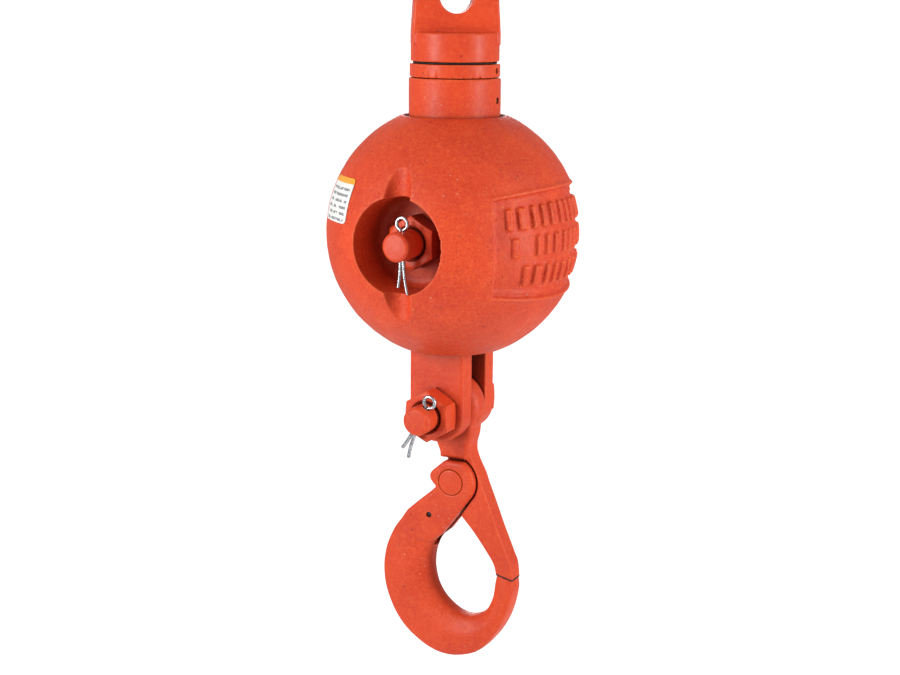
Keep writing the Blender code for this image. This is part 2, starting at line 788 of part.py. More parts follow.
def hook_body():
    """Eye, neck, latch arm and the tongue that the bowl turns on."""
    half = EYE_HALF_THICKNESS / MM
    rim = EYE_RADIUS / MM
    bore = (BOLT_RADIUS + GAP) / MM
    lip = 1.5
    section = [(bore, half - lip), (bore + lip, half), (rim - 10, half), (rim - 4, half - 2.6)]
    section += [(rim, half - 10)]
    mirrored = [(radius, -height) for radius, height in reversed(section)]
    ring = [(radius * MM, height * MM) for radius, height in section + mirrored]
    eye = turned("hook_body", ring, 28, closed=True, parent=HOOK_FRAME, rotation=ALONG_Y)
    arm = plate("arm", body_outline(), ARM_HALF_THICKNESS, 0.0012, parent=HOOK_FRAME)
    neck = plate("neck", neck_outline(), NECK_HALF_THICKNESS, 0.0030, parent=HOOK_FRAME)
    tongue = plate("tongue", tongue_outline(), TONGUE_HALF_THICKNESS, 0.0004, parent=HOOK_FRAME)
    place = {"location": (PIVOT[0] * MM, 0, PIVOT[1] * MM), "rotation": ALONG_Y}
    pivot_bore = drill("pivot_bore", PIVOT_SHANK_RADIUS + GAP, parent=HOOK_FRAME, **place)
    join(eye, neck, arm, tongue)
    cut(eye, pivot_bore)
    return finish_part(eye, "hook_body", RED_FORGING)


def neck_outline():
    """Thick part between the eye and the flat shoulder over the cheeks."""
    low = PIVOT[1] + CHEEK_TOP + SHOULDER_GAP + 0.6
    right = through([(31, -18), (28, -34), (26.8, -45), (26.2, low)], 6)
    left = through([(-8.6, low), (-8.4, -49), (-12, -41), (-21, -27)], 5)
    return right + left + [(-8, -19), (16, -19)]


def body_outline():
    """Neck and latch arm, with a round shoulder that clears the bowl's cheeks."""
    shoulder = CHEEK_RADIUS + SHOULDER_GAP
    flat = CHEEK_TOP + SHOULDER_GAP
    flat_angle = math.degrees(math.asin(flat / shoulder))
    right = through(
        [(32.5, -20), (29.5, -35), (28.0, -46), (30.8, -57), (36.6, -69), (40.5, -80), (48, -98)], 14
    )
    right += through([(58.5, -124), (69.5, -149), (74, -160), (75.8, -173.3)], 6)
    inner = through([(57.5, -169.5), (54.5, -162), (46, -149), (31, -130), (16, -114)], 10)
    round_stretch = arc(PIVOT, shoulder, -42, flat_angle, 12)
    left = [(-7.5, PIVOT[1] + flat), (-7.5, -46), (-8, -20), (20, -20)]
    return right + inner + round_stretch + left


def polar(radius, degrees):
    angle = math.radians(degrees)
    return (PIVOT[0] + radius * math.cos(angle), PIVOT[1] + radius * math.sin(angle))


def tongue_outline():
    """Cam disc with a ramped notch for the trigger's nose, and the web that carries it."""
    web = [(-2, -50), (26, -50), (38, -76), (33, -96), (20, -101)]
    low = arc(PIVOT, CAM_RADIUS, -80, -(360 - NOSE_BOTTOM - 4), 8)
    notch = [polar(CAM_NOTCH_RADIUS - 0.4, NOSE_BOTTOM + 3), polar(CAM_NOTCH_RADIUS - 0.4, NOSE_TOP - 1)]
    ramp = [polar(CAM_RADIUS, RAMP_END)]
    crown = arc(PIVOT, CAM_RADIUS, RAMP_END - 6, 118, 3)
    outline = web + low + notch + ramp + crown
    outline.reverse()
    return outline


def bowl_station(t):
    """Inner point, outer point and thickness of the bowl's section, from its tip (0) to its shank."""
    stations = [
        (57.0, -172.2, 75.8, -176.4, 21),
        (54.5, -181, 76.2, -190, 23),
        (51.5, -199, 69, -217, 26),
        (43, -215, 55, -242, 29),
        (28, -223, 34, -262.5, 32),
        (12, -221.5, 3, -270.6, 34),
        (-3, -212, -26, -263.5, 34),
        (-13, -199, -52.5, -244, 34),
        (-17.5, -185, -69, -216, 34),
        (-18.5, -171, -74.5, -188, 34),
        (-15.5, -155, -71, -160, 34),
        (-7, -140, -58, -133, 33),
        (2, -128, -42, -113, 32),
    ]
    return spline(stations, t)


def hook_bowl():
    """Load bowl whose shank ends in two cheeks round the tongue."""
    rings = []
    count = 22
    for i in range(count + 1):
        xi, zi, xo, zo, thickness = bowl_station(i / count)
        rings.append(bowl_section(Vector((xi, zi)), Vector((xo, zo)), thickness))
    place = {"parent": BOWL_FRAME, "location": FROM_PIVOT}
    bowl = loft("hook_bowl", rings, **place)
    cheeks = plate("cheeks", cheek_outline(), CHEEK_HALF_THICKNESS, 0.0035, **place)
    tilt = math.atan2(-SHANK_DIRECTION.x, -SHANK_DIRECTION.z)
    above = 0.040
    middle = SHANK_DIRECTION * ((SLOT_DEPTH - above) / 2)
    slot = box(
        "trigger_slot",
        (0.12, SLOT_HALF_WIDTH * 2, SLOT_DEPTH + above),
        parent=BOWL_FRAME,
        location=middle,
        rotation=(0, tilt, 0),
    )
    seat = CHEEK_HALF_THICKNESS - PIVOT_HEAD_HEIGHT
    wide = PIVOT_HEAD_RADIUS + GAP
    narrow = PIVOT_SHANK_RADIUS + GAP
    half = [(0, 0.03), (wide, 0.03), (wide, seat), (narrow, seat)]
    mirrored = [(radius, -height) for radius, height in reversed(half)]
    pivot_hole = turned("pivot_hole", half + mirrored, 24, parent=BOWL_FRAME, rotation=ALONG_Y)
    pin_hole = drill("trigger_pin_hole", TRIGGER_PIN_RADIUS + GAP, 16, **TRIGGER_PIN_PLACE)
    join(bowl, cheeks)
    cut(bowl, slot, pivot_hole, pin_hole)
    return finish_part(bowl, "hook_bowl", RED_FORGING)


def bowl_section(inner, outer, thickness):
    """One ring: a rounded section, fuller at the inner side where the load bears."""
    middle = (inner + outer) / 2
    across = (outer - inner) / 2
    points = []
    sides = 12
    for k in range(sides):
        angle = TURN * k / sides
        c, s = math.cos(angle), math.sin(angle)
        along = math.copysign(abs(c) ** 0.85, c)
        side = math.copysign(abs(s) ** 0.75, s) * (1 - 0.12 * c)
        spot = middle + across * along
        points.append((spot.x * MM, side * thickness / 2 * MM, spot.y * MM))
    return points


def cheek_outline():
    """Round cheek with a flat top and a lobe at the back, running into the shank."""
    top_angle = math.degrees(math.asin(CHEEK_TOP / CHEEK_RADIUS))
    outline = arc(PIVOT, CHEEK_RADIUS, -42, top_angle, 14)
    top = PIVOT[1] + CHEEK_TOP
    outline += [(2, top), (-2, top - 1.8)]
    outline += through([(-9.5, -64), (-15.5, -69.5), (-17.6, -74), (-16.5, -79)], 6)
    outline += [(-10.5, -85.5), (-16, -91)]
    outline += [(-31, -105), (-43, -118.5), (-40, -132), (-12, -148), (-4, -137), (9, -120)]
    return outline


def pivot_pin():
    """Pin with a flush head on each side. It turns in the tongue and is held by the cheeks."""
    end = CHEEK_HALF_THICKNESS + 0.0008
    seat = CHEEK_HALF_THICKNESS - PIVOT_HEAD_HEIGHT + GAP
    half = [(0, end), (PIVOT_HEAD_RADIUS - 0.0012, end), (PIVOT_HEAD_RADIUS, end - 0.0012)]
    half += [(PIVOT_HEAD_RADIUS, seat), (PIVOT_SHANK_RADIUS, seat)]
    mirrored = [(radius, -height) for radius, height in reversed(half)]
    pin = turned("hook_pivot_pin", half + mirrored, 24, parent=BOWL_FRAME, rotation=ALONG_Y)
    return finish_part(pin, "hook_pivot_pin", RED_TURNED)


def trigger_pin():
    reach = CHEEK_HALF_THICKNESS - 0.0015
    pin = rod("trigger_pin", TRIGGER_PIN_RADIUS, -reach, reach, 16, **TRIGGER_PIN_PLACE)
    return finish_part(pin, "trigger_pin", BLACK_OXIDE)


def trigger():
    """Lever on the trigger pin: a nose that drops into the cam's notch, and a thumb pad."""
    clear = CAM_RADIUS + 0.8
    nose = [
        polar(clear + 1.0, NOSE_TOP - 6),
        polar(CAM_NOTCH_RADIUS + 0.4, NOSE_TOP + 1),
        polar(CAM_NOTCH_RADIUS + 0.4, NOSE_BOTTOM - 2),
        polar(clear, NOSE_BOTTOM + 1),
    ]
    inner = arc(PIVOT, clear, NOSE_BOTTOM + 6, 222, 5)
    outer = arc(PIVOT, clear + 6.2, 216, NOSE_TOP + 2, 6)
    hub = arc(TRIGGER_PIN, 7.0, 20, -110, 7)
    pad = [(-36, -130), (-45.5, -124.5), (-40.5, -117), (-30, -107.5)]
    outline = nose + inner + hub + pad + outer
    place = {"parent": TRIGGER_FRAME, "location": FROM_TRIGGER_PIN}
    obj = plate("trigger", outline, TRIGGER_HALF_THICKNESS, 0.0006, **place)
    hole = drill("trigger_bore", TRIGGER_PIN_RADIUS + GAP, 16, parent=TRIGGER_FRAME, rotation=ALONG_Y)
    return finish_part(cut(obj, hole), "trigger", RED_TURNED)


def trigger_spring():
    """Small coil between the thumb pad and the bottom of the slot."""
    axis = -SHANK_DIRECTION
    side = Vector((0, 1, 0))
    other = axis.cross(side)
    seat = SLOT_DEPTH - GAP - SPRING_WIRE
    low = Vector((PIVOT[0], 0, PIVOT[1])) + (SHANK_DIRECTION * seat + other * SPRING_OFFSET) / MM
    length = SPRING_LENGTH / MM
    steps = SPRING_TURNS * 12
    radius = SPRING_RADIUS / MM
    points = []
    for i in range(steps + 1):
        angle = TURN * i / 12
        spot = low + axis * (length * i / steps)
        spot += (side * math.cos(angle) + other * math.sin(angle)) * radius
        points.append(spot * MM)
    coil = wire("trigger_spring", points, SPRING_WIRE, 0, parent=BOWL_FRAME, location=FROM_PIVOT)
    return finish_part(coil, "trigger_spring", STEEL)


# ---------------------------------------------------------------- the whole object


def build():
    top_eye()
    dust_seal()
    bearing()
    shank_nut()
    swivel_cap()
    cap_set_screw()
    grease_fitting()
    jaw_body()
    ball()
    ball_label()
    bolt_set("ball", 0.0, POCKET_FLOOR, BALL_BOLT_END, BALL_COTTER_Y, 0.0, BALL_COTTER_LEG)
    hook_level = HOOK_BOLT_Z - BALL_Z
    bolt_set(
        "hook", hook_level, FORK_SPREAD / 2, HOOK_BOLT_END, HOOK_COTTER_Y, HOOK_COTTER_TILT, HOOK_COTTER_LEG
    )
    hook_body()
    hook_bowl()
    pivot_pin()
    trigger_pin()
    trigger()
    trigger_spring()
    hide_tools()


build()
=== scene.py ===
"""Looks of the crane hook block: forged, cast and turned surfaces, paint, zinc and rubber, and a studio.

Every shape is built in the row frame, in metres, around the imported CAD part. Hook outlines are in
millimetres from the hook bolt's axis, as (x, z), and lie in the XZ plane.
"""

import math

import bmesh
import bpy
from mathutils import Matrix, Vector, noise


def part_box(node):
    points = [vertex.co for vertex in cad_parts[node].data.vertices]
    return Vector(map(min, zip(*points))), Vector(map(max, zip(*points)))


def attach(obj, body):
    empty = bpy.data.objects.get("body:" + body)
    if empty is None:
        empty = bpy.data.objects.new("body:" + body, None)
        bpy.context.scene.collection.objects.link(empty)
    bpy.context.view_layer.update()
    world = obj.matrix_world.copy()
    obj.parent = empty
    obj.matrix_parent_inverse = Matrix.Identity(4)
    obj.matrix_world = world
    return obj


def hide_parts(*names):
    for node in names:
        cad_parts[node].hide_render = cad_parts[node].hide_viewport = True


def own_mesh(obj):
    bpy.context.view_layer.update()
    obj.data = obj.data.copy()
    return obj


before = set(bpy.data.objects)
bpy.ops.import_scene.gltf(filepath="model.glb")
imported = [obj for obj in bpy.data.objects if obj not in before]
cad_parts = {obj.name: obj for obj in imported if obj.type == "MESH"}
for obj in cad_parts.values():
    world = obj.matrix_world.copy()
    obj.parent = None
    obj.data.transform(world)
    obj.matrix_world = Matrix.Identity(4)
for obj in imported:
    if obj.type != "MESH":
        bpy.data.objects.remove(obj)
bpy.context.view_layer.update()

MM = 0.001
TURN = 2 * math.pi
COARSE = 1.0

# Levels, read from the CAD
BALL_LOW, BALL_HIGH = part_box("overhaul_ball")
BALL_Z = (BALL_LOW.z + BALL_HIGH.z) / 2
HOOK_DROP = 0.179
HOOK_Z = BALL_Z - HOOK_DROP
GAP = 0.0003

# Ball
BALL_RADIUS = 0.127
FLAT_RADIUS = 0.0517
BORE_RADIUS = 0.0476
POCKET_RADIUS = 0.0465
POCKET_FLOOR = 0.069
GROOVE_RADIUS = 0.0135
GROOVE_OFFSET = 0.1171
PANEL_DEPTH = 0.0050
PANEL_LATITUDE = 24.0
PANEL_AZIMUTHS = (45.0, 135.0)
PANEL_TAPER = 0.13
LABEL_SPANS = ((-52.0, -28.0), (7.5, 27.5))

# Swivel, heights from the ball's centre
REST_ANGLE = math.radians(32)
BARREL_RADIUS = 0.0452
BARREL_TOP = 0.1525
CAVITY_RADIUS = 0.036
CAVITY_FLOOR = 0.080
CAP_RADIUS = 0.0443
CAP_TOP = 0.1660
SHANK_RADIUS = 0.019
SHANK_END = 0.086
COLLAR_RADIUS = 0.0434
COLLAR_BOTTOM = 0.1682
COLLAR_TOP = 0.196
TANG_HALF = 0.0185
TANG_HOLE_Z = 0.2305
TANG_HOLE_RADIUS = 0.0167
TANG_TOP_RADIUS = 0.0405
BEARING_Z = 0.1275
BALL_CIRCLE = 0.0275
RACE_INNER, RACE_OUTER = 0.0210, 0.0345
LOWER_RACE_BOTTOM = -0.0095
NUT_PIN_Z = 0.099
SIDE_AZIMUTH = 94
SCREW_Z = 0.1597
FITTING_Z = 0.131

# Fork and bolts
ARM_WIDTH = 0.061
FORK_SPREAD = 0.071
FORK_GAP = 0.0316
ARM_END_RADIUS = 0.0315
SLOT_TOP = -0.098
BOLT_RADIUS = 0.0143
HEX_FLATS = 0.046
NUT_HEIGHT = 0.022
HEAD_HEIGHT = 0.018
THREAD_PITCH = 0.0032
THREAD_DEPTH = 0.0009

# Hook
PIVOT = (7.5, -78.0)
CHEEK_RADIUS = 26.0
CHEEK_TOP = 22.5
SHOULDER_GAP = 1.2
CHEEK_HALF = 17.0
TRIGGER_PIN = (-17.2, -116.6)
CAM_RADIUS = 17.5
NOSE_TOP, NOSE_BOTTOM = 172.0, 188.0
PIVOT_POINT = Vector((PIVOT[0] * MM, 0, HOOK_Z + PIVOT[1] * MM))
SHANK_DIRECTION = Vector((-0.55, 0, -0.835)).normalized()
SLOT_DEPTH = 0.075
SLOT_HALF_WIDTH = 0.007
TIP_JOINT = Vector((66.5 * MM, 0, HOOK_Z - 172.9 * MM))
TIP_SLOPE = math.atan2(4.0, 18.6)
TIP_SPLIT = 0.0016

UP_TO_Y = Matrix.Rotation(math.pi / 2, 4, "X")  # a shape's +Z becomes -Y, the nuts' side


def level(z, turn=UP_TO_Y, x=0.0):
    """Places a lathe shape on a bolt's axis at a height."""
    return Matrix.Translation((x, 0, z)) @ turn


BALL_AXIS = level(BALL_Z)
HOOK_AXIS = level(HOOK_Z)
PIVOT_AXIS = level(HOOK_Z + PIVOT[1] * MM, x=PIVOT[0] * MM)
TRIGGER_AXIS = level(HOOK_Z + TRIGGER_PIN[1] * MM, x=TRIGGER_PIN[0] * MM)
SWIVEL_AXIS = Matrix.Translation((0, 0, BALL_Z))
HOOK_PLANE = Matrix.Translation((0, 0, HOOK_Z))


# ---------------------------------------------------------------- curves and outlines


def arc(centre, radius, start, end, steps):
    """Points on an arc, with both ends. Angles are in degrees from +x towards +z."""
    angles = [math.radians(start + (end - start) * i / steps) for i in range(steps + 1)]
    return [(centre[0] + radius * math.cos(a), centre[1] + radius * math.sin(a)) for a in angles]


def spline(points, t):
    """A point on the Catmull-Rom curve through a list of points, t from 0 to 1."""
    place = t * (len(points) - 1)
    i = min(int(place), len(points) - 2)
    f = place - i
    p1, p2 = points[i], points[i + 1]
    p0 = points[i - 1] if i else [2 * a - b for a, b in zip(p1, p2)]
    p3 = points[i + 2] if i + 2 < len(points) else [2 * b - a for a, b in zip(p1, p2)]
    return [
        0.5 * (2 * b + (c - a) * f + (2 * a - 5 * b + 4 * c - d) * f * f + (3 * b - a - 3 * c + d) * f**3)
        for a, b, c, d in zip(p0, p1, p2, p3)
    ]


def through(points, steps):
    """A smooth run through a few points."""
    return [spline(points, i / steps) for i in range(steps + 1)]


def rounded(points, radius, steps=4, closed=False):
    """The same corners with each one rounded. A point may carry its own radius as a third value."""
    out = []
    count = len(points)
    for i, point in enumerate(points):
        if not closed and i in (0, count - 1):
            out.append(tuple(point[:2]))
            continue
        here = Vector(point[:2])
        before = Vector(points[i - 1][:2]) - here
        after = Vector(points[(i + 1) % count][:2]) - here
        own = point[2] if len(point) > 2 else radius
        back = before.normalized() * min(own, before.length * 0.48)
        on = after.normalized() * min(own, after.length * 0.48)
        for k in range(steps + 1):
            f = k / steps
            spot = here + back * (1 - f) ** 2 + on * f * f
            out.append((spot.x, spot.y))
    return out


def polar(radius, degrees):
    angle = math.radians(degrees)
    return (PIVOT[0] + radius * math.cos(angle), PIVOT[1] + radius * math.sin(angle))


# ---------------------------------------------------------------- solids


def linked(name, data):
    """A new object in the scene."""
    obj = bpy.data.objects.new(name, data)
    bpy.context.scene.collection.objects.link(obj)
    return obj


def finished(shape, name, place=None, outwards=True):
    """The object of a bmesh, its faces turned outwards."""
    if outwards:
        bmesh.ops.recalc_face_normals(shape, faces=shape.faces)
    mesh = bpy.data.meshes.new(name)
    shape.to_mesh(mesh)
    shape.free()
    if place is not None:
        mesh.transform(place)
    return linked(name, mesh)


def skin(shape, loops, closed):
    """Faces between neighbouring loops of vertices. A loop of one vertex is a tip."""
    pairs = list(zip(loops, loops[1:])) + ([(loops[-1], loops[0])] if closed else [])
    for low, high in pairs:
        count = max(len(low), len(high))
        for i in range(count):
            j = (i + 1) % count
            ring = [low[i % len(low)], low[j % len(low)], high[j % len(high)], high[i % len(high)]]
            corners = [v for k, v in enumerate(ring) if v not in ring[:k]]
            if len(corners) > 2:
                shape.faces.new(corners)


def lathe(name, profile, steps=96, closed=False, place=SWIVEL_AXIS, radius_at=None):
    """A shape about Z from (radius, height) points. radius_at may change the radius round the turn."""
    shape = bmesh.new()
    loops = []
    for radius, height in profile:
        if radius < 1e-7:
            loops.append([shape.verts.new((0, 0, height))])
            continue
        loop = []
        for k in range(steps):
            angle = TURN * k / steps
            r = radius_at(radius, height, k / steps) if radius_at else radius
            loop.append(shape.verts.new((r * math.cos(angle), r * math.sin(angle), height)))
        loops.append(loop)
    skin(shape, loops, closed)
    return finished(shape, name, place)


def mirrored(half):
    """A profile's upper half, with its mirror image below."""
    return half + [(r, -z) for r, z in reversed(half)]


def bar(name, radius, bottom, top, place, steps=64):
    """A plain round bar, mostly used to drill a hole."""
    return lathe(name, [(0, top), (radius, top), (radius, bottom), (0, bottom)], steps, place=place)


def loft(name, rings):
    """A closed skin over rings that have the same number of points."""
    shape = bmesh.new()
    loops = [[shape.verts.new(co) for co in ring] for ring in rings]
    skin(shape, loops, False)
    shape.faces.new(loops[0])
    shape.faces.new(loops[-1])
    return finished(shape, name)


def block(name, size, place):
    shape = bmesh.new()
    bmesh.ops.create_cube(shape, size=1.0)
    bmesh.ops.scale(shape, vec=size, verts=shape.verts)
    return finished(shape, name, place)


def polyline(curve, points):
    line = curve.splines.new("POLY")
    line.points.add(len(points) - 1)
    for point, co in zip(line.points, points):
        point.co = (*co, 1)
    return line


def slab(name, outline, half, rounding, place=HOOK_PLANE, resolution=3):
    """A flat outline in millimetres (x, z), made solid along Y with round edges."""
    curve = bpy.data.curves.new(name, "CURVE")
    curve.dimensions = "2D"
    curve.fill_mode = "BOTH"
    curve.extrude = (half - rounding) * MM
    curve.bevel_depth = rounding * MM
    curve.bevel_resolution = resolution
    curve.offset = -rounding * MM
    polyline(curve, [(x * MM, z * MM, 0) for x, z in outline]).use_cyclic_u = True
    return curve_solid(name, curve, place @ UP_TO_Y)


def evaluated(obj):
    """A mesh of the object with its curve settings and modifiers worked out."""
    graph = bpy.context.evaluated_depsgraph_get()
    return bpy.data.meshes.new_from_object(obj.evaluated_get(graph))


def curve_solid(name, curve, place=None):
    """The closed mesh object of a curve."""
    obj = linked(name, curve)
    shape = bmesh.new()
    shape.from_mesh(evaluated(obj))
    bpy.data.objects.remove(obj)
    bmesh.ops.remove_doubles(shape, verts=shape.verts, dist=0.000005)
    return finished(shape, name, place)


def wire(name, points, radius, place=None, resolution=3):
    """A round wire through points, with filled ends."""
    curve = bpy.data.curves.new(name, "CURVE")
    curve.dimensions = "3D"
    curve.bevel_depth = radius
    curve.bevel_resolution = resolution
    curve.use_fill_caps = True
    polyline(curve, points)
    return curve_solid(name, curve, place)


def apply_modifiers(obj):
    """Makes the object's modifiers part of its mesh."""
    mesh = evaluated(obj)
    obj.modifiers.clear()
    obj.data = mesh
    return obj


def cut(obj, cutters, operation="DIFFERENCE"):
    """Takes closed cutters out of a closed shape, or keeps what they share with it, and removes them."""
    for cutter in cutters:
        modifier = obj.modifiers.new("cut", "BOOLEAN")
        modifier.operation = operation
        modifier.solver = "MANIFOLD"
        modifier.object = cutter
    apply_modifiers(obj)
    for cutter in cutters:
        bpy.data.objects.remove(cutter)
    return obj


def merged(name, solids):
    """One object that holds the meshes of several closed solids."""
    shape = bmesh.new()
    for solid in solids:
        shape.from_mesh(solid.data)
        bpy.data.objects.remove(solid)
    return finished(shape, name, outwards=False)


def reskinned(obj, voxel, rounds=0):
    """One even skin, its edges softened a little more with every round."""
    remesh = obj.modifiers.new("skin", "REMESH")
    remesh.mode = "VOXEL"
    remesh.voxel_size = voxel * COARSE
    if rounds:
        soften = obj.modifiers.new("soften", "SMOOTH")
        soften.factor = 0.5
        soften.iterations = max(1, round(rounds / COARSE))
    return apply_modifiers(obj)


def thinned(obj, triangles):
    """Fewer faces where the skin is flat, down to a number of triangles."""
    count = sum(len(face.vertices) - 2 for face in obj.data.polygons)
    if count > triangles:
        decimate = obj.modifiers.new("thin", "DECIMATE")
        decimate.ratio = triangles / count
        apply_modifiers(obj)
    return obj


def forged(name, solids, cutters, drills, voxel, rounds, triangles, scale=0.0):
    """Overlapping solids as one forging. Cutters leave soft edges and drills leave crisp ones."""
    obj = merged(name, solids)
    if cutters:
        reskinned(obj, voxel)
        cut(obj, cutters)
    reskinned(obj, voxel, rounds)
    if scale:
        roughened(obj, scale, 0.016)
    thinned(obj, triangles)
    if drills:
        cut(obj, drills)
    return obj


def roughened(obj, amount, size):
    """Moves the skin in and out a little, as a cast or forged surface has it."""
    places = [vert.co.copy() for vert in obj.data.vertices]
    normals = [vert.normal.copy() for vert in obj.data.vertices]
    moved = []
    for place, normal in zip(places, normals):
        moved.extend(place + normal * (noise.fractal(place / size, 1.0, 2.0, 3) * amount))
    obj.data.vertices.foreach_set("co", moved)
    obj.data.update()
    return obj


# ---------------------------------------------------------------- materials


class Look:
    """A material under construction: a Principled shader and the patterns that drive it."""

    def __init__(self, name):
        self.material = bpy.data.materials.new(name)
        self.material.use_nodes = True
        self.tree = self.material.node_tree
        self.shader = self.tree.nodes["Principled BSDF"]
        self.coords = self.tree.nodes.new("ShaderNodeTexCoord").outputs["Object"]

    def node(self, kind, inputs=None, **settings):
        made = self.tree.nodes.new("ShaderNode" + kind)
        for key, value in settings.items():
            setattr(made, key, value)
        for key, value in (inputs or {}).items():
            self.feed(made.inputs[key], value)
        return made

    def feed(self, socket, value):
        if isinstance(value, bpy.types.NodeSocket):
            self.tree.links.new(value, socket)
        else:
            socket.default_value = value

    def set(self, **inputs):
        for key, value in inputs.items():
            self.feed(self.shader.inputs[key.replace("_", " ")], value)
        return self

    def noise(self, size, detail=3.0, roughness=0.55, distortion=0.0, stretch=None):
        """Noise whose blobs are about size metres across."""
        coords = self.coords
        if stretch:
            coords = self.node("Mapping", {"Vector": coords, "Scale": stretch}).outputs[0]
        values = {"Vector": coords, "Scale": 1 / size, "Detail": detail}
        values.update(Roughness=roughness, Distortion=distortion)
        return self.node("TexNoise", values).outputs["Fac"]

    def cells(self, size, randomness=1.0, output="Distance"):
        values = {"Vector": self.coords, "Scale": 1 / size, "Randomness": randomness}
        return self.node("TexVoronoi", values).outputs[output]

    def between(self, value, low, high, to_low=0.0, to_high=1.0):
        """Stretches low...high to to_low...to_high, and clamps."""
        values = {"Value": value, "From Min": low, "From Max": high, "To Min": to_low, "To Max": to_high}
        return self.node("MapRange", values, clamp=True).outputs["Result"]

    def maths(self, operation, a, b=0.0):
        made = self.node("Math", operation=operation)
        self.feed(made.inputs[0], a)
        self.feed(made.inputs[1], b)
        return made.outputs[0]

    def mix(self, share, a, b, mode="MIX"):
        made = self.node("Mix", data_type="RGBA", blend_type=mode)
        self.feed(made.inputs["Factor"], share)
        self.feed(made.inputs[6], a)
        self.feed(made.inputs[7], b)
        return made.outputs[2]

    def bump(self, height, distance, normal=None, strength=1.0):
        values = {"Height": height, "Distance": distance, "Strength": strength}
        if normal is not None:
            values["Normal"] = normal
        return self.node("Bump", values).outputs["Normal"]

    def pointed(self):
        """0.5 on flat ground, more on edges and less in hollows."""
        return self.node("NewGeometry").outputs["Pointiness"]


RED = (0.72, 0.066, 0.016, 1)
DEEP_RED = (0.50, 0.028, 0.014, 1)
LIGHT_RED = (0.86, 0.150, 0.040, 1)
# The next two colours are painted shade for crevices, hollows and the tip joint.
SHADE = (0.060, 0.014, 0.012, 1)
DEEP_SHADE = (0.016, 0.007, 0.008, 1)


def tip_faces(look):
    """1 on the two faces of the joint at the hook's tip, which take a painted shade so the closed joint
    reads dark.
    """
    across = look.node("VectorMath", {0: look.coords, 1: TIP_JOINT}, operation="SUBTRACT").outputs[0]
    normal = (math.sin(TIP_SLOPE), 0, math.cos(TIP_SLOPE))
    height = look.node("VectorMath", {0: across, 1: normal}, operation="DOT_PRODUCT").outputs["Value"]
    near = look.maths("LESS_THAN", look.maths("ABSOLUTE", height), TIP_SPLIT / 2 + 0.00015)
    beside = look.node("SeparateXYZ", {"Vector": across}).outputs["X"]
    return look.maths("MULTIPLY", near, look.maths("GREATER_THAN", beside, -0.02))


def painted(name, grain=1.0, pits=0.0, dust=0.35, gap=0.030, shade=SHADE, joint=None):
    """Sprayed enamel over metal: grain, soft mottling, specks, edges lighter partly from thin paint and
    partly as a painted highlight, painted shade in hollows, and painted shade from ambient occlusion in
    crevices.
    """
    look = Look(name)
    broad = look.between(look.noise(0.045, 2.0), 0.35, 0.65)
    fine = look.between(look.noise(0.005, 5.0, 0.7), 0.3, 0.7)
    colour = look.mix(look.between(broad, 0, 1, 0.0, 0.40), RED, DEEP_RED)
    colour = look.mix(look.between(fine, 0.45, 1, 0.0, 0.35), colour, LIGHT_RED)
    sand = look.noise(0.0021, 3.0, 0.7)
    colour = look.mix(look.between(sand, 0.54, 0.66, 0.0, 0.42 * grain), colour, DEEP_RED)
    colour = look.mix(look.between(sand, 0.44, 0.34, 0.0, 0.22 * grain), colour, LIGHT_RED)
    # Lighter on convex edges: partly thin paint, partly a painted highlight. Darker in hollows: painted
    # shade.
    point = look.pointed()
    colour = look.mix(look.between(point, 0.515, 0.57, 0.0, 0.75), colour, LIGHT_RED)
    colour = look.mix(look.between(point, 0.49, 0.42, 0.0, 0.60), colour, DEEP_RED)
    specks = look.between(look.cells(0.0080), 0.10, 0.06)
    rare = look.between(look.noise(0.03, 1.0), 0.56, 0.64)
    share = look.maths("MULTIPLY", look.maths("MULTIPLY", specks, rare), dust)
    colour = look.mix(share, colour, (0.80, 0.45, 0.34, 1))
    dark = look.between(look.cells(0.0105), 0.11, 0.06)
    dark = look.maths("MULTIPLY", dark, look.between(look.noise(0.022, 1.0), 0.52, 0.60))
    colour = look.mix(look.maths("MULTIPLY", dark, 0.75), colour, (0.14, 0.02, 0.02, 1))
    # Ambient occlusion darkens crevices, slots and recesses towards the shade colour: painted shade.
    occlusion_shade = look.node("AmbientOcclusion", {"Distance": gap}, samples=6).outputs["AO"]
    colour = look.mix(look.between(occlusion_shade, 0.56, 0.16, 0.0, 0.95), colour, shade)
    # The tip joint's two faces take the shade colour: painted shade along the closed joint.
    if joint:
        colour = look.mix(joint(look), colour, SHADE)
    peel = look.bump(look.noise(0.0014, 2.0, 0.5), 0.00008 * grain)
    pebble = look.bump(look.noise(0.0042, 4.0, 0.7), 0.00030 * grain, peel)
    normal = look.bump(look.noise(0.03, 2.0, 0.5), 0.0006 * grain, pebble)
    if pits:
        holes = look.between(look.cells(0.011), 0.16, 0.07)
        normal = look.bump(holes, -0.0006 * pits, normal)
    rough = look.between(look.noise(0.012, 3.0), 0.3, 0.7, 0.30 + 0.08 * grain, 0.42 + 0.10 * grain)
    look.set(Base_Color=colour, Roughness=rough, Normal=normal, Metallic=0.0)
    look.set(Specular_IOR_Level=0.30)
    return look.material


def zinc(name):
    look = Look(name)
    spangle = look.between(look.noise(0.0018, 3.0), 0.3, 0.7)
    colour = look.mix(spangle, (0.40, 0.44, 0.48, 1), (0.78, 0.82, 0.86, 1))
    stain = look.between(look.noise(0.006, 2.0), 0.50, 0.70, 0.0, 0.7)
    colour = look.mix(stain, colour, (0.30, 0.28, 0.27, 1))
    rough = look.between(spangle, 0, 1, 0.16, 0.34)
    scratch = look.noise(0.0007, 2.0, stretch=(1, 1, 0.15))
    normal = look.bump(scratch, 0.00004)
    return look.set(Base_Color=colour, Roughness=rough, Metallic=1.0, Normal=normal).material


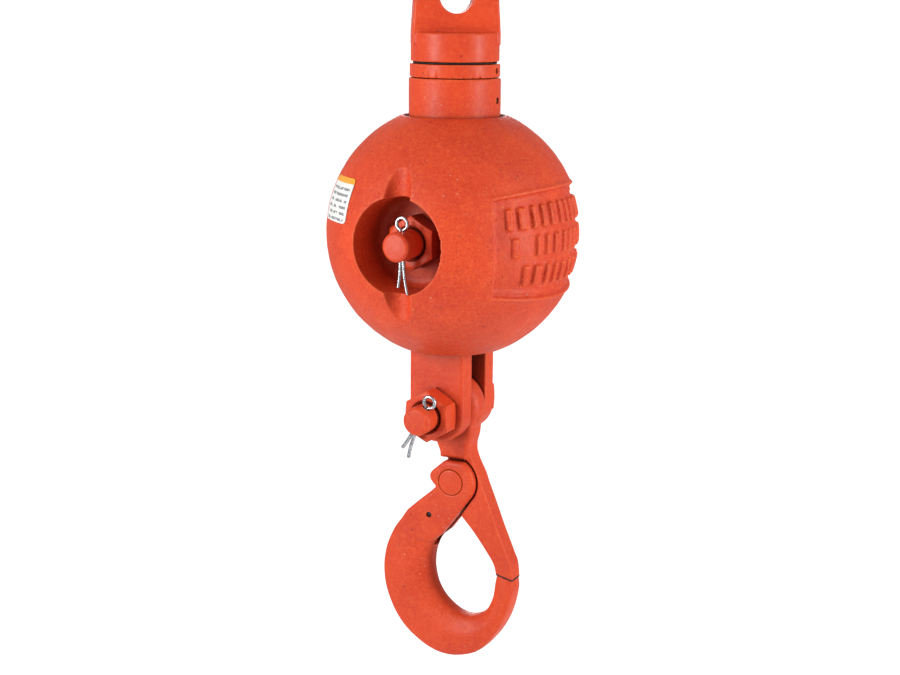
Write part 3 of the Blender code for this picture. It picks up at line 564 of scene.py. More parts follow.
def steel(name, tint=(0.52, 0.53, 0.55), rough=(0.22, 0.38)):
    """Turned or drawn metal with fine tool marks and a little oil."""
    look = Look(name)
    marks = look.noise(0.0012, 3.0, 0.6, stretch=(1, 1, 12))
    plain, bright, oiled = [(*(c * share for c in tint), 1) for share in (1, 1.25, 0.5)]
    colour = look.mix(look.between(marks, 0.35, 0.65), plain, bright)
    oil = look.between(look.noise(0.01, 2.0), 0.5, 0.7, 0.0, 0.4)
    colour = look.mix(oil, colour, oiled)
    rough = look.between(marks, 0.3, 0.7, *rough)
    normal = look.bump(marks, 0.00003)
    return look.set(Base_Color=colour, Roughness=rough, Metallic=1.0, Normal=normal).material


def rubber(name):
    look = Look(name)
    dusty = look.between(look.noise(0.008, 3.0), 0.45, 0.75, 0.0, 0.5)
    colour = look.mix(dusty, (0.012, 0.012, 0.013, 1), (0.05, 0.045, 0.042, 1))
    normal = look.bump(look.noise(0.0008, 3.0), 0.00005)
    return look.set(Base_Color=colour, Roughness=0.68, Normal=normal).material


# ---------------------------------------------------------------- pieces on their bodies


def piece(obj, node, body, material, angle=40):
    """Gives a finished shape its CAD node to stand for, its body, its material and its shading."""
    obj.name = "v_" + node
    obj.data.name = obj.name
    obj.data.materials.clear()
    obj.data.materials.append(material)
    obj.data.shade_smooth()
    if angle:
        obj.data.set_sharp_from_angle(angle=math.radians(angle))
    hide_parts(node)
    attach(obj, body)
    return obj


PAINT_CASTING = painted("paint_casting", grain=1.5, pits=0.8, dust=0.6)
PAINT_FORGING = painted("paint_forging", pits=0.25, dust=0.5, gap=0.055, shade=DEEP_SHADE, joint=tip_faces)
PAINT_TURNED = painted("paint_turned", grain=0.45, dust=0.2)
ZINC = zinc("zinc_wire")
STEEL = steel("steel")
BEARING_STEEL = steel("bearing_steel", (0.66, 0.67, 0.69), (0.08, 0.18))
BRASS = steel("brass", (0.62, 0.44, 0.17), (0.20, 0.36))
BLACK_OXIDE = steel("black_oxide", (0.035, 0.035, 0.040), (0.35, 0.5))
RUBBER = rubber("seal_rubber")


# ---------------------------------------------------------------- swivel


def top_eye():
    """Collar, tang and shank, turned and milled from one forging."""
    profile = [(0, COLLAR_TOP), (COLLAR_RADIUS, COLLAR_TOP, 0.0026), (COLLAR_RADIUS, COLLAR_BOTTOM, 0.0008)]
    profile += [(SHANK_RADIUS, COLLAR_BOTTOM, 0.0010), (SHANK_RADIUS, SHANK_END, 0.0020), (0, SHANK_END)]
    collar = lathe("collar", rounded(profile, 0.001), 128)
    half = COLLAR_RADIUS / MM - 0.6
    base = COLLAR_TOP / MM - 12
    outline = [(-half, base), (half, base), (half, base + 12)]
    outline += arc((0, TANG_HOLE_Z / MM), TANG_TOP_RADIUS / MM, 4, 176, 64)
    outline += [(-half, base + 12)]
    turn = Matrix.Rotation(REST_ANGLE, 4, "Z")
    tang = slab("tang", outline, TANG_HALF / MM, 2.2, SWIVEL_AXIS @ turn, 4)
    hole_place = SWIVEL_AXIS @ Matrix.Translation((0, 0, TANG_HOLE_Z)) @ turn @ UP_TO_Y
    lip = 0.0016
    half_hole = [(0, 0.03), (TANG_HOLE_RADIUS + lip * 8, 0.03)]
    half_hole += [(TANG_HOLE_RADIUS + lip, TANG_HALF + 0.0002), (TANG_HOLE_RADIUS, TANG_HALF - lip)]
    hole = lathe("hole", mirrored(half_hole), 96, place=hole_place)
    pin_hole = bar("pin_hole", 0.0033, -0.03, 0.03, level(BALL_Z + NUT_PIN_Z), 32)
    obj = forged("top_eye", [collar, tang], [hole], [pin_hole], 0.85 * MM, 4, 45000, 0.00006)
    piece(obj, "top_eye", "eye", PAINT_TURNED, 0)


def dust_seal():
    """Rubber ring whose lip bulges a little in the joint."""
    low, high = CAP_TOP + GAP, COLLAR_BOTTOM - GAP
    middle = (low + high) / 2
    profile = [(0.0210, high), (0.0408, high), (0.0416, middle), (0.0408, low), (0.0210, low)]
    obj = lathe("dust_seal", rounded(profile, 0.0005, closed=True), 128, True)
    piece(obj, "dust_seal", "eye", RUBBER)


def side_place(height):
    """Places a shape so that its +Z points out of the barrel's side, where the screw and fitting are."""
    turn = Matrix.Rotation(math.radians(SIDE_AZIMUTH), 4, "Z")
    return Matrix.Translation((0, 0, BALL_Z + height)) @ turn @ UP_TO_Y


def swivel_cap():
    seat = BARREL_TOP + 0.0006
    skirt = CAVITY_RADIUS - GAP
    inner, bottom = 0.0200, 0.1395
    profile = [(inner, CAP_TOP, 0.0004), (CAP_RADIUS, CAP_TOP, 0.0014), (CAP_RADIUS, seat, 0.0016)]
    profile += [(skirt, seat, 0.0003), (skirt, bottom, 0.0008), (inner, bottom, 0.0004)]
    profile = rounded(profile, 0.001, closed=True)
    rim = next(i for i, (r, z) in enumerate(profile) if z < seat + 0.0020 and r > CAP_RADIUS - 0.00001)
    profile.insert(rim, (CAP_RADIUS, seat + 0.0023))

    def chipped(radius, height, share):
        """Chipped paint and metal along the seam with the barrel."""
        if radius < 0.0420 or height > seat + 0.0018:
            return radius
        spot = Vector((math.cos(TURN * share), math.sin(TURN * share), 0))
        return radius - 0.0016 * max(0.0, noise.fractal(spot * 9, 1.0, 2.0, 3))

    obj = lathe("swivel_cap", profile, 320, True, radius_at=chipped)
    hole = [(0, 0.06), (0.0050, 0.06), (0.0036, 0.0448), (0.0030, 0.0436), (0.0030, 0.036), (0, 0.036)]
    cut(obj, [lathe("hole", hole, 48, place=side_place(SCREW_Z))])
    piece(obj, "swivel_cap", "block", PAINT_TURNED, 50)


def small_side_parts():
    """The set screw in the cap and the grease fitting in the barrel."""
    profile = rounded([(0, 0.0425), (0.0027, 0.0425, 0.0005), (0.0027, 0.0363), (0, 0.0363)], 0.0003)
    screw = lathe("screw", profile, 48, place=side_place(SCREW_Z))
    socket = bar("socket", 0.0014, 0.0395, 0.045, side_place(SCREW_Z), 6)
    cut(screw, [socket])
    piece(screw, "cap_set_screw", "block", BLACK_OXIDE)
    nipple = [(0, 0.0442), (0.0011, 0.0442), (0.0016, 0.0435), (0.0012, 0.0425), (0.0015, 0.0418)]
    nipple += [(0.0028, 0.0416), (0.0028, 0.0400), (0.0020, 0.0400), (0.0020, 0.0368), (0, 0.0368)]
    fitting = lathe("fitting", rounded(nipple, 0.0003, 2), 48, place=side_place(FITTING_Z))
    piece(fitting, "grease_fitting", "block", BRASS)


def bearing():
    """Races, cage and balls, with fine round surfaces."""
    place = Matrix.Translation((0, 0, BALL_Z + BEARING_Z))
    for name, body, near, far in (
        ("bearing_upper_race", "block", 0.0030, 0.0117),
        ("bearing_lower_race", "eye", -0.0030, LOWER_RACE_BOTTOM),
    ):
        side = 1 if near > 0 else -1
        groove = 6.5
        reach = math.degrees(math.acos(near * side / MM / groove))
        run = arc((BALL_CIRCLE / MM, 0), groove, (90 + reach) * side, (90 - reach) * side, 16)
        profile = [(RACE_INNER, near)] + [(r * MM, z * MM) for r, z in run]
        profile += [(RACE_OUTER, near), (RACE_OUTER, far), (RACE_INNER, far)]
        race = lathe(name, profile, 96, True, place)
        piece(race, name, body, BEARING_STEEL)
    inner, outer, half = 0.0196, 0.0354, 0.0022
    profile = [(inner, half), (outer, half), (outer, -half), (inner, -half)]
    cage = lathe("cage", rounded(profile, 0.0004, 2, True), 96, True, place)
    pockets = []
    for i in range(10):
        angle = TURN * i / 10
        spot = Matrix.Translation((BALL_CIRCLE * math.cos(angle), BALL_CIRCLE * math.sin(angle), 0))
        pockets.append(bar("pocket", 0.0065, -0.01, 0.01, place @ spot, 40))
        shape = bmesh.new()
        bmesh.ops.create_uvsphere(shape, u_segments=28, v_segments=16, radius=0.0062)
        ball = finished(shape, "ball", place @ spot)
        piece(ball, f"bearing_ball_{i + 1:02d}", "cage", BEARING_STEEL, 0)
    cut(cage, pockets)
    piece(cage, "bearing_cage", "cage", BRASS)
    top, bottom = BEARING_Z + LOWER_RACE_BOTTOM - GAP, 0.090
    ring = [(SHANK_RADIUS + GAP, top), (0.0310, top), (0.0310, bottom), (SHANK_RADIUS + GAP, bottom)]
    nut = lathe("nut", rounded(ring, 0.0013, 3, True), 96, True)
    cross = level(BALL_Z + NUT_PIN_Z)
    cut(nut, [bar("hole", 0.0033, -0.04, 0.04, cross, 32)])
    piece(nut, "shank_nut", "eye", STEEL)
    profile = rounded([(0, 0.0305), (0.0030, 0.0305), (0.0030, -0.0305), (0, -0.0305)], 0.0007, 3)
    pin = lathe("pin", profile, 32, place=cross)
    piece(pin, "shank_nut_pin", "eye", STEEL)


# ---------------------------------------------------------------- jaw body and ball


def jaw_body():
    """Swivel barrel, core and fork, in one forging."""
    core_end = -0.100
    profile = [(0, CAVITY_FLOOR), (CAVITY_RADIUS, CAVITY_FLOOR, 0.004), (CAVITY_RADIUS, BARREL_TOP, 0.0004)]
    profile += [(BARREL_RADIUS, BARREL_TOP, 0.0013), (BARREL_RADIUS, core_end, 0.003), (0, core_end)]
    barrel = lathe("barrel", rounded(profile, 0.001), 160)
    half = ARM_WIDTH / 2 / MM
    shoulder = math.degrees(math.acos(half / (ARM_END_RADIUS / MM)))
    bolt = (0, -HOOK_DROP / MM)
    outline = arc(bolt, ARM_END_RADIUS / MM, 180 + shoulder, 360 - shoulder, 64)
    outline += [(half, -85), (-half, -85)]
    fork = slab("fork", outline, FORK_SPREAD / 2 / MM, 3.4, SWIVEL_AXIS, 4)
    depth = 0.14
    middle = BALL_Z + SLOT_TOP - depth / 2
    slot = block("slot", (0.12, FORK_GAP, depth), Matrix.Translation((0, 0, middle)))
    holes = [bar("hole", BOLT_RADIUS + GAP, -0.08, 0.08, place, 64) for place in (BALL_AXIS, HOOK_AXIS)]
    port = bar("port", 0.0034, 0.0395, 0.06, side_place(FITTING_Z), 32)
    duct = bar("duct", 0.0023, 0.030, 0.042, side_place(FITTING_Z), 24)
    obj = forged("jaw_body", [barrel, fork], [slot], [*holes, port, duct], 1.1 * MM, 3, 55000, 0.0001)
    piece(obj, "jaw_body", "block", PAINT_FORGING, 50)


def on_ball(radius, azimuth, latitude):
    """A point near the ball. Azimuth is in degrees from -Y towards +X."""
    a, b = math.radians(azimuth), math.radians(latitude)
    flat = radius * math.cos(b)
    return Vector((flat * math.sin(a), -flat * math.cos(a), BALL_Z + radius * math.sin(b)))


def patch(shape, radii, spot, columns, rows):
    """A thick patch of the sphere. spot gives azimuth and latitude from the shares across and up."""
    wide = columns + 1
    grids = []
    for radius in radii:
        shares = [(i / columns, j / rows) for j in range(rows + 1) for i in range(wide)]
        grids.append([shape.verts.new(on_ball(radius, *spot(u, v))) for u, v in shares])
    for grid in grids:
        for a in (j * wide + i for j in range(rows) for i in range(columns)):
            shape.faces.new((grid[a], grid[a + 1], grid[a + wide + 1], grid[a + wide]))
    edge = list(range(wide)) + [j * wide + columns for j in range(1, rows + 1)]
    edge += [rows * wide + i for i in range(columns - 1, -1, -1)]
    edge += [j * wide for j in range(rows - 1, 0, -1)]
    low, high = grids
    for a, b in zip(edge, edge[1:] + edge[:1]):
        shape.faces.new((low[a], low[b], high[b], high[a]))
    return grids


def zone(name, radii, azimuths, latitudes, columns, rows):
    """A thick patch between two azimuths and two latitudes, narrowed as the panel is."""

    def spot(across, up):
        azimuth = azimuths[0] + (azimuths[1] - azimuths[0]) * across
        return azimuth, (latitudes[0] + (latitudes[1] - latitudes[0]) * up) * narrowed(azimuth)

    shape = bmesh.new()
    patch(shape, radii, spot, columns, rows)
    return finished(shape, name)


def narrowed(azimuth):
    """How much of its full height the panel keeps at an azimuth: it narrows towards its ends."""
    return 1 - PANEL_TAPER * ((azimuth - 90) / 45) ** 2


def relief():
    """Plain raised pads in three rows, and a bead along the panel's upper and lower edge."""
    floor = BALL_RADIUS - PANEL_DEPTH
    solids = []
    rows = (
        (8.8, 18.8, 51.5, (2.6, 4.2, 2.6, 2.6, 4.2, 2.6, 2.6, 4.2, 2.6, 2.6, 4.2, 2.6), 3.2, 0.0040),
        (-4.4, 4.6, 54.0, (2.8,), 3.0, 0.0036),
        (-3.8, 5.2, 66.5, (2.6, 2.6, 4.0, 2.6, 2.6, 4.0, 2.6, 2.6, 4.0), 3.2, 0.0036),
        (-17.6, -8.4, 60.0, (2.6, 4.0, 2.6, 2.6, 4.0, 2.6, 2.6, 4.0, 2.6, 2.6), 3.4, 0.0040),
    )
    for low, high, start, widths, space, height in rows:
        azimuth = start
        for width in widths:
            span = (azimuth, azimuth + width)
            solids.append(zone("pad", (floor - 0.003, floor + height), span, (low, high), 3, 4))
            azimuth += width + space
    for side in (-1, 1):
        for latitude, radius, lift in ((22.3, 0.0021, 0.0), (24.9, 0.0018, PANEL_DEPTH)):
            azimuths = [PANEL_AZIMUTHS[0] - 1 + 92 * k / 60 for k in range(61)]
            path = [on_ball(floor + lift, a, side * latitude * narrowed(a)) for a in azimuths]
            solids.append(wire("bead", path, radius))
    return solids


def ball():
    """Cast ball with a bolt pocket and two grooves on each side, and a panel with plain relief."""
    top = math.sqrt(BALL_RADIUS**2 - FLAT_RADIUS**2)
    edge = math.degrees(math.atan2(top, FLAT_RADIUS))
    profile = [(r * MM, z * MM) for r, z in arc((0, 0), BALL_RADIUS / MM, edge, -edge, 72)]
    rim, flare = FLAT_RADIUS - 0.0014, 0.004
    profile += [(rim, -top), (BORE_RADIUS, -top + flare), (BORE_RADIUS, top - flare), (rim, top)]
    body = lathe("ball", profile, 160, True)
    radii = (BALL_RADIUS - PANEL_DEPTH, BALL_RADIUS + 0.012)
    cut(body, [zone("panel", radii, PANEL_AZIMUTHS, (-PANEL_LATITUDE, PANEL_LATITUDE), 48, 24)])
    cutters = []
    pocket = [(0, 0.14), (POCKET_RADIUS + 0.0016, 0.14), (POCKET_RADIUS, 0.112)]
    pocket += [(POCKET_RADIUS - 0.0012, POCKET_FLOOR, 0.009), (0, POCKET_FLOOR)]
    pocket = rounded(pocket, 0.001, 6)
    for side in (0, math.pi):
        turn = Matrix.Rotation(side, 4, "Z")
        cutters.append(lathe("pocket", pocket, 96, place=SWIVEL_AXIS @ turn @ UP_TO_Y))
        spot = SWIVEL_AXIS @ turn @ Matrix.Translation((0, -GROOVE_OFFSET, 0))
        cutters.append(bar("groove", GROOVE_RADIUS, -0.09, 0.09, spot, 64))
    drill = bar("drill", BOLT_RADIUS + GAP, -0.1, 0.1, BALL_AXIS, 64)
    obj = forged("overhaul_ball", [body, *relief()], cutters, [drill], 1.2 * MM, 4, 85000, 0.00025)
    piece(obj, "overhaul_ball", "block", PAINT_CASTING, 60)


# ---------------------------------------------------------------- bolts


def threaded(radius, height, share, start, end):
    """The radius of a helical thread between two heights, fading out at both."""
    fade = min(1.0, max(0.0, min(height - start, end - height) / (THREAD_PITCH * 0.7)))
    wave = abs(((height / THREAD_PITCH - share) % 1.0) * 2 - 1)
    return radius - THREAD_DEPTH * fade * (0.15 + 0.85 * wave)


def hexagon(name, bottom, top, place):
    """A hexagon bar with a corner towards +Y, its corners turned off at both ends."""
    corner = HEX_FLATS / 2 / math.cos(math.radians(30))
    shape = bmesh.new()
    depth = top - bottom
    bmesh.ops.create_cone(shape, cap_ends=True, segments=6, radius1=corner, radius2=corner, depth=depth)
    bmesh.ops.translate(shape, vec=(0, 0, (top + bottom) / 2), verts=shape.verts)
    obj = finished(shape, name, place)
    flat = HEX_FLATS / 2 - 0.0006
    rise = 0.0030
    wide = corner + 0.002
    cone = [(0, top + 0.0005), (flat - 0.001, top + 0.0005), (wide, top - rise)]
    cone += [(wide, bottom + rise), (flat - 0.001, bottom - 0.0005), (0, bottom - 0.0005)]
    return cut(obj, [lathe("chamfer", cone, 128, place=place)], "INTERSECT")


def bolt_set(prefix, z, seat, end, cotter_at, tilt, leg):
    """Hexagon bolt along Y, its plain nut and its cotter. Distances run from the middle to -Y."""
    place = level(z)
    head_top = -seat - GAP
    radius = BOLT_RADIUS
    nut_low, nut_top = seat + GAP, seat + NUT_HEIGHT
    thread_end = nut_top + 0.0065
    heights = [head_top - 0.004]
    heights += [nut_low + (thread_end - nut_low) * k / 90 for k in range(91)]
    tip = 0.0026
    profile = [(0, end), (radius - tip, end), (radius - tip * 0.30, end - tip * 0.55)]
    profile += [(radius, end - tip), (radius, thread_end + 0.002)]
    profile += [(radius, height) for height in reversed(heights)] + [(0, heights[0])]

    def thread(r, h, share):
        return threaded(r, h, share, nut_low, thread_end) if nut_low < h < thread_end else r

    shank = lathe(prefix + "_shank", profile, 96, place=place, radius_at=thread)
    head = hexagon(prefix + "_head", head_top - HEAD_HEIGHT, head_top, place)
    drill_turn = Matrix.Translation((0, -cotter_at, z)) @ Matrix.Rotation(tilt, 4, "Y")
    drill = bar("drill", 0.0040, -0.03, 0.03, drill_turn, 32)
    obj = forged(prefix + "_bolt", [shank, head], [], [drill], 0.6 * MM, 2, 22000)
    piece(obj, prefix + "_bolt", "block", PAINT_TURNED, 50)

    nut = hexagon(prefix + "_nut", nut_low, nut_top, place)
    sink = 0.0032
    bore = [(0, 0.2), (radius + sink, 0.2), (radius + sink, nut_top - 0.0004)]
    bore += [(radius + GAP, nut_top - 0.0030), (radius + GAP, seat - 0.002), (0, seat - 0.002)]
    cut(nut, [lathe("bore", bore, 96, place=place)])
    thinned(reskinned(nut, 0.5 * MM, 3), 12000)
    piece(nut, prefix + "_nut", "block", PAINT_TURNED, 60)
    cotter(prefix + "_cotter", leg, drill_turn)


def cotter(name, leg, place):
    """A split pin through a bolt: an eye above, and two legs that spread below."""
    thick = 0.0018
    eye_radius = 0.0058
    side = thick + 0.00005
    start = math.asin(side / eye_radius)
    centre = BOLT_RADIUS + eye_radius * math.cos(start) + 0.001
    angles = [start + (TURN - 2 * start) * i / 40 for i in range(41)]
    eye = [(eye_radius * math.sin(a), 0, centre - eye_radius * math.cos(a)) for a in angles]
    bend = -BOLT_RADIUS - 0.002
    splay = 0.0045
    right = [(side + splay * f * f, 0, bend - leg * f) for f in (1 - k / 12 for k in range(13))]
    left = [(-side - splay * 0.5 * f * f, 0, bend - leg * 0.8 * f) for f in (k / 12 for k in range(13))]
    obj = wire(name, right + eye + left, thick, place, 4)
    piece(obj, name, "block", ZINC, 60)


# ---------------------------------------------------------------- hook


def hook_body():
    """Eye, neck, latch arm and the tongue that the bowl turns on."""
    half, rim, bore = 15.0, 35.5, BOLT_RADIUS / MM + 0.3
    section = [(bore, half - 1.6), (bore + 0.5, half - 0.5), (bore + 1.6, half), (rim - 12, half - 0.1)]
    section += [(rim - 7, half - 1.1), (rim - 3.2, half - 4.2), (rim - 0.8, half - 9.0), (rim, 0)]
    fine = through(section, 40)
    ring = fine + [(r, -h) for r, h in reversed(fine[:-1])]
    eye = lathe("eye", [(r * MM, h * MM) for r, h in ring], 128, True, HOOK_AXIS)
    arm = slab("arm", body_outline(), 10.0, 1.4)
    neck = slab("neck", neck_outline(), 13.0, 5.5, resolution=4)
    tongue = slab("tongue", tongue_outline(), 6.6, 0.4, resolution=0)
    bore_drill = bar("drill", 0.0093, -0.03, 0.03, PIVOT_AXIS)
    eye_drill = bar("drill", BOLT_RADIUS + GAP, -0.03, 0.03, HOOK_AXIS)
    drills = [bore_drill, eye_drill, tip_cutter(-1)]
    obj = forged("hook_body", [eye, neck, arm, tongue], [], drills, 0.75 * MM, 4, 50000, 0.0001)
    piece(obj, "hook_body", "hook", PAINT_FORGING, 50)


def tip_cutter(side):
    """A big block on one side of the joint between the latch arm and the bowl's tip."""
    size = 0.030
    turn = Matrix.Rotation(TIP_SLOPE, 4, "Y")
    lift = Matrix.Translation((0, 0, side * (size + TIP_SPLIT) / 2))
    return block("tip_cutter", (0.05, 0.05, size), Matrix.Translation(TIP_JOINT) @ turn @ lift)


def neck_outline():
    low = PIVOT[1] + CHEEK_TOP + SHOULDER_GAP + 0.6
    right = through([(29.5, -15), (28.6, -27), (25.8, -38), (25.2, -47), (26.2, low)], 32)
    left = through([(-8.6, low), (-8.4, -49), (-11.5, -41), (-18, -25)], 20)
    return right + left + [(-8, -14), (14, -14)]


def body_outline():
    """Neck and latch arm, with a round shoulder that clears the bowl's cheeks."""
    shoulder = CHEEK_RADIUS + SHOULDER_GAP
    flat = CHEEK_TOP + SHOULDER_GAP
    flat_angle = math.degrees(math.asin(flat / shoulder))
    neck = [(29, -15), (28, -27), (25.8, -38), (26.2, -47), (30, -57), (36.4, -69), (40.5, -80), (48, -98)]
    right = through(neck, 56)
    right += through([(58.5, -124), (69.5, -149), (74, -160), (76.0, -178.0)], 24)
    inner = through([(58.0, -178.0), (54.5, -162), (46, -149), (31, -130), (16, -114)], 36)
    round_stretch = arc(PIVOT, shoulder, -42, flat_angle, 48)
    left = [(-7.5, PIVOT[1] + flat), (-7.5, -46), (-8, -20), (20, -20)]
    return right + inner + round_stretch + left


def tongue_outline():
    """Cam disc with a ramped notch for the trigger's nose, and the web that carries it."""
    notch_radius, ramp_end = 13.0, 143.0
    web = [(-2, -50), (26, -50), (38, -76), (33, -96), (20, -101)]
    low = arc(PIVOT, CAM_RADIUS, -80, -(360 - NOSE_BOTTOM - 4), 40)
    notch = [polar(notch_radius, NOSE_BOTTOM + 3), polar(notch_radius, NOSE_TOP - 1)]
    crown = arc(PIVOT, CAM_RADIUS, ramp_end - 6, 118, 12)
    outline = web + low + notch + [polar(CAM_RADIUS, ramp_end)] + crown
    outline.reverse()
    return outline


# The bowl's inner and outer edge (x, z, x, z) and its thickness, from the tip to the shank
BOWL_STATIONS = (
    (56.6, -166.5, 75.6, -170.0, 20.5),
    (55.8, -172.2, 76.0, -176.4, 21),
    (54.0, -181, 76.2, -190, 23),
    (51.5, -199, 69, -217, 26),
    (43, -215, 55, -242, 29),
    (28, -223, 34, -262.5, 32),
    (12, -221.5, 3, -270.6, 34),
    (-3, -212, -26, -263.5, 34),
    (-13, -199, -52.5, -244, 34),
    (-17.5, -185, -69, -216, 34),
    (-18.5, -171, -74.5, -188, 34),
    (-15.5, -155, -71, -160, 34),
    (-7, -140, -58, -133, 33),
    (2, -128, -39, -115, 32),
)
# Half of the bowl's section: shares of the way from inner to outer edge, and of half the thickness
BOWL_SECTION = [(0.0, 0.0), (0.015, 0.30), (0.06, 0.52), (0.14, 0.70), (0.26, 0.86), (0.40, 0.97)]
BOWL_SECTION += [(0.52, 1.0), (0.66, 0.99), (0.80, 0.95), (0.90, 0.90), (0.955, 0.80), (0.985, 0.52)]
BOWL_SECTION += [(1.0, 0.0)]


def hook_bowl():
    """Load bowl whose shank ends in two cheeks round the tongue."""
    half = through(BOWL_SECTION, 26)
    closed = half + [(u, -w) for u, w in reversed(half[1:-1])]
    rings = []
    for xi, zi, xo, zo, thickness in through(BOWL_STATIONS, 110):
        edge = [(xi + (xo - xi) * u, zi + (zo - zi) * u, w * thickness / 2) for u, w in closed]
        rings.append([(x * MM, y * MM, HOOK_Z + z * MM) for x, z, y in edge])
    bowl = loft("bowl", rings)
    cheeks = slab("cheeks", cheek_outline(), CHEEK_HALF, 4.0, resolution=5)
    tilt = math.atan2(-SHANK_DIRECTION.x, -SHANK_DIRECTION.z)
    above = 0.040
    middle = PIVOT_POINT + SHANK_DIRECTION * ((SLOT_DEPTH - above) / 2)
    slot_place = Matrix.Translation(middle) @ Matrix.Rotation(tilt, 4, "Y")
    slot = block("slot", (0.12, SLOT_HALF_WIDTH * 2, SLOT_DEPTH + above), slot_place)
    seat, wide, narrow = 0.0120, 0.0137, 0.0093
    half_hole = [(0, 0.03), (wide + 0.0010, 0.03), (wide + 0.0010, 0.0171), (wide, 0.0162)]
    half_hole += [(wide, seat), (narrow, seat)]
    hole = lathe("hole", mirrored(half_hole), 96, place=PIVOT_AXIS)
    pin_half = [(0, 0.03), (0.0040, 0.03), (0.0032, 0.0168), (0.0029, 0.0162)]
    pin_hole = lathe("pin_hole", mirrored(pin_half), 48, place=TRIGGER_AXIS)
    drills = [slot, hole, pin_hole, tip_cutter(1)]
    obj = forged("hook_bowl", [bowl, cheeks], [], drills, 0.85 * MM, 4, 70000, 0.00012)
    piece(obj, "hook_bowl", "bowl", PAINT_FORGING, 50)


def cheek_outline():
    """Round cheek with a flat top and a lobe at the back, running into the shank."""
    top_angle = math.degrees(math.asin(CHEEK_TOP / CHEEK_RADIUS))
    outline = arc(PIVOT, CHEEK_RADIUS, -42, top_angle, 56)
    top = PIVOT[1] + CHEEK_TOP
    outline += [(2, top), (-2, top - 1.8)]
    outline += through([(-9.5, -64), (-15.5, -69.5), (-17.6, -74), (-16.5, -79)], 24)
    outline += [(-10.5, -85.5), (-16, -91)]
    outline += [(-31, -104), (-43.5, -115.5), (-53.5, -130), (-58, -140), (-48, -145), (-16, -147)]
    outline += [(-11, -143), (-4, -137), (9, -120)]
    return outline


def hook_pins():
    """The pivot pin's flush heads and the trigger pin."""
    end, seat = 0.0178, 0.0123
    half = [(0, end), (0.0134, end, 0.0022), (0.0134, seat, 0.0003), (0.0090, seat, 0.0003), (0.0090, 0)]
    pin = lathe("pin", mirrored(rounded(half, 0.001, 5)[:-1]), 96, place=PIVOT_AXIS)
    piece(pin, "hook_pivot_pin", "bowl", PAINT_TURNED, 60)
    reach = 0.0155
    profile = rounded([(0, reach), (0.0026, reach), (0.0026, -reach), (0, -reach)], 0.0006, 3)
    small = lathe("small", profile, 40, place=TRIGGER_AXIS)
    piece(small, "trigger_pin", "bowl", BLACK_OXIDE)


def trigger():
    """Lever on the trigger pin: a nose that drops into the cam's notch, and a thumb pad."""
    clear = CAM_RADIUS + 0.8
    tip = 13.8
    nose = [polar(clear + 1.0, NOSE_TOP - 6), polar(tip, NOSE_TOP + 1)]
    nose += [polar(tip, NOSE_BOTTOM - 2), polar(clear, NOSE_BOTTOM + 1)]
    inner = arc(PIVOT, clear, NOSE_BOTTOM + 6, 222, 20)
    outer = arc(PIVOT, clear + 6.2, 216, NOSE_TOP + 2, 24)
    hub = arc(TRIGGER_PIN, 7.0, 20, -110, 28)
    pad = [(-36, -130), (-45.5, -124.5), (-40.5, -117), (-30, -107.5)]
    plate = slab("lever", nose + inner + hub + pad + outer, 6.2, 0.8, resolution=2)
    drill = bar("drill", 0.0029, -0.03, 0.03, TRIGGER_AXIS, 40)
    obj = forged("trigger", [plate], [], [drill], 0.45 * MM, 2, 12000)
    piece(obj, "trigger", "trigger", PAINT_TURNED, 60)


def trigger_spring():
    """Coil under the thumb pad, with a closed turn at each end."""
    axis = -SHANK_DIRECTION
    side = Vector((0, 1, 0))
    other = axis.cross(side)
    turns, length, radius, thick = 5, 0.0098, 0.0034, 0.0005
    low = PIVOT_POINT + SHANK_DIRECTION * (SLOT_DEPTH - GAP - thick) - other * 0.0005
    steps = turns * 28
    points = []
    for i in range(steps + 1):
        f = i / steps
        rise = length * min(1.0, max(0.0, (f - 0.12) / 0.76)) * 0.9 + length * 0.1 * f
        angle = TURN * turns * f
        points.append(low + axis * rise + (side * math.cos(angle) + other * math.sin(angle)) * radius)
    obj = wire("spring", points, thick, None, 2)
    piece(obj, "trigger_spring", "bowl", STEEL, 60)
    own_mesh(obj)


# ---------------------------------------------------------------- label


def label_look():
    """White vinyl with a coloured header, and grey bars in place of print."""
    look = Look("label_vinyl")
    uv = look.tree.nodes.new("ShaderNodeUVMap").outputs["UV"]
    split = look.node("SeparateXYZ", {"Vector": uv})
    across, up = split.outputs["X"], split.outputs["Y"]
    header = look.between(up, 0.865, 0.870)
    lines = look.maths("PINGPONG", look.maths("MULTIPLY", up, 15.0), 1.0)
    line_mask = look.between(lines, 0.50, 0.60)
    words = look.node("TexNoise", {"Vector": uv, "Scale": 7.0, "Detail": 2.0}).outputs["Fac"]
    word_mask = look.between(words, 0.42, 0.48)
    inside = look.maths("MULTIPLY", look.between(across, 0.08, 0.10), look.between(across, 0.93, 0.91))
    body = look.between(up, 0.84, 0.83)
    print_mask = look.maths("MULTIPLY", look.maths("MULTIPLY", line_mask, word_mask), inside)
    print_mask = look.maths("MULTIPLY", print_mask, body)
    faded = look.between(look.noise(0.02, 2.0), 0.4, 0.7)
    white = look.mix(faded, (0.86, 0.86, 0.84, 1), (0.74, 0.73, 0.70, 1))
    colour = look.mix(look.maths("MULTIPLY", print_mask, 0.8), white, (0.13, 0.14, 0.15, 1))
    colour = look.mix(header, colour, (0.90, 0.38, 0.03, 1))
    normal = look.bump(look.noise(0.004, 2.0), 0.00005)
    return look.set(Base_Color=colour, Roughness=0.42, Normal=normal).material


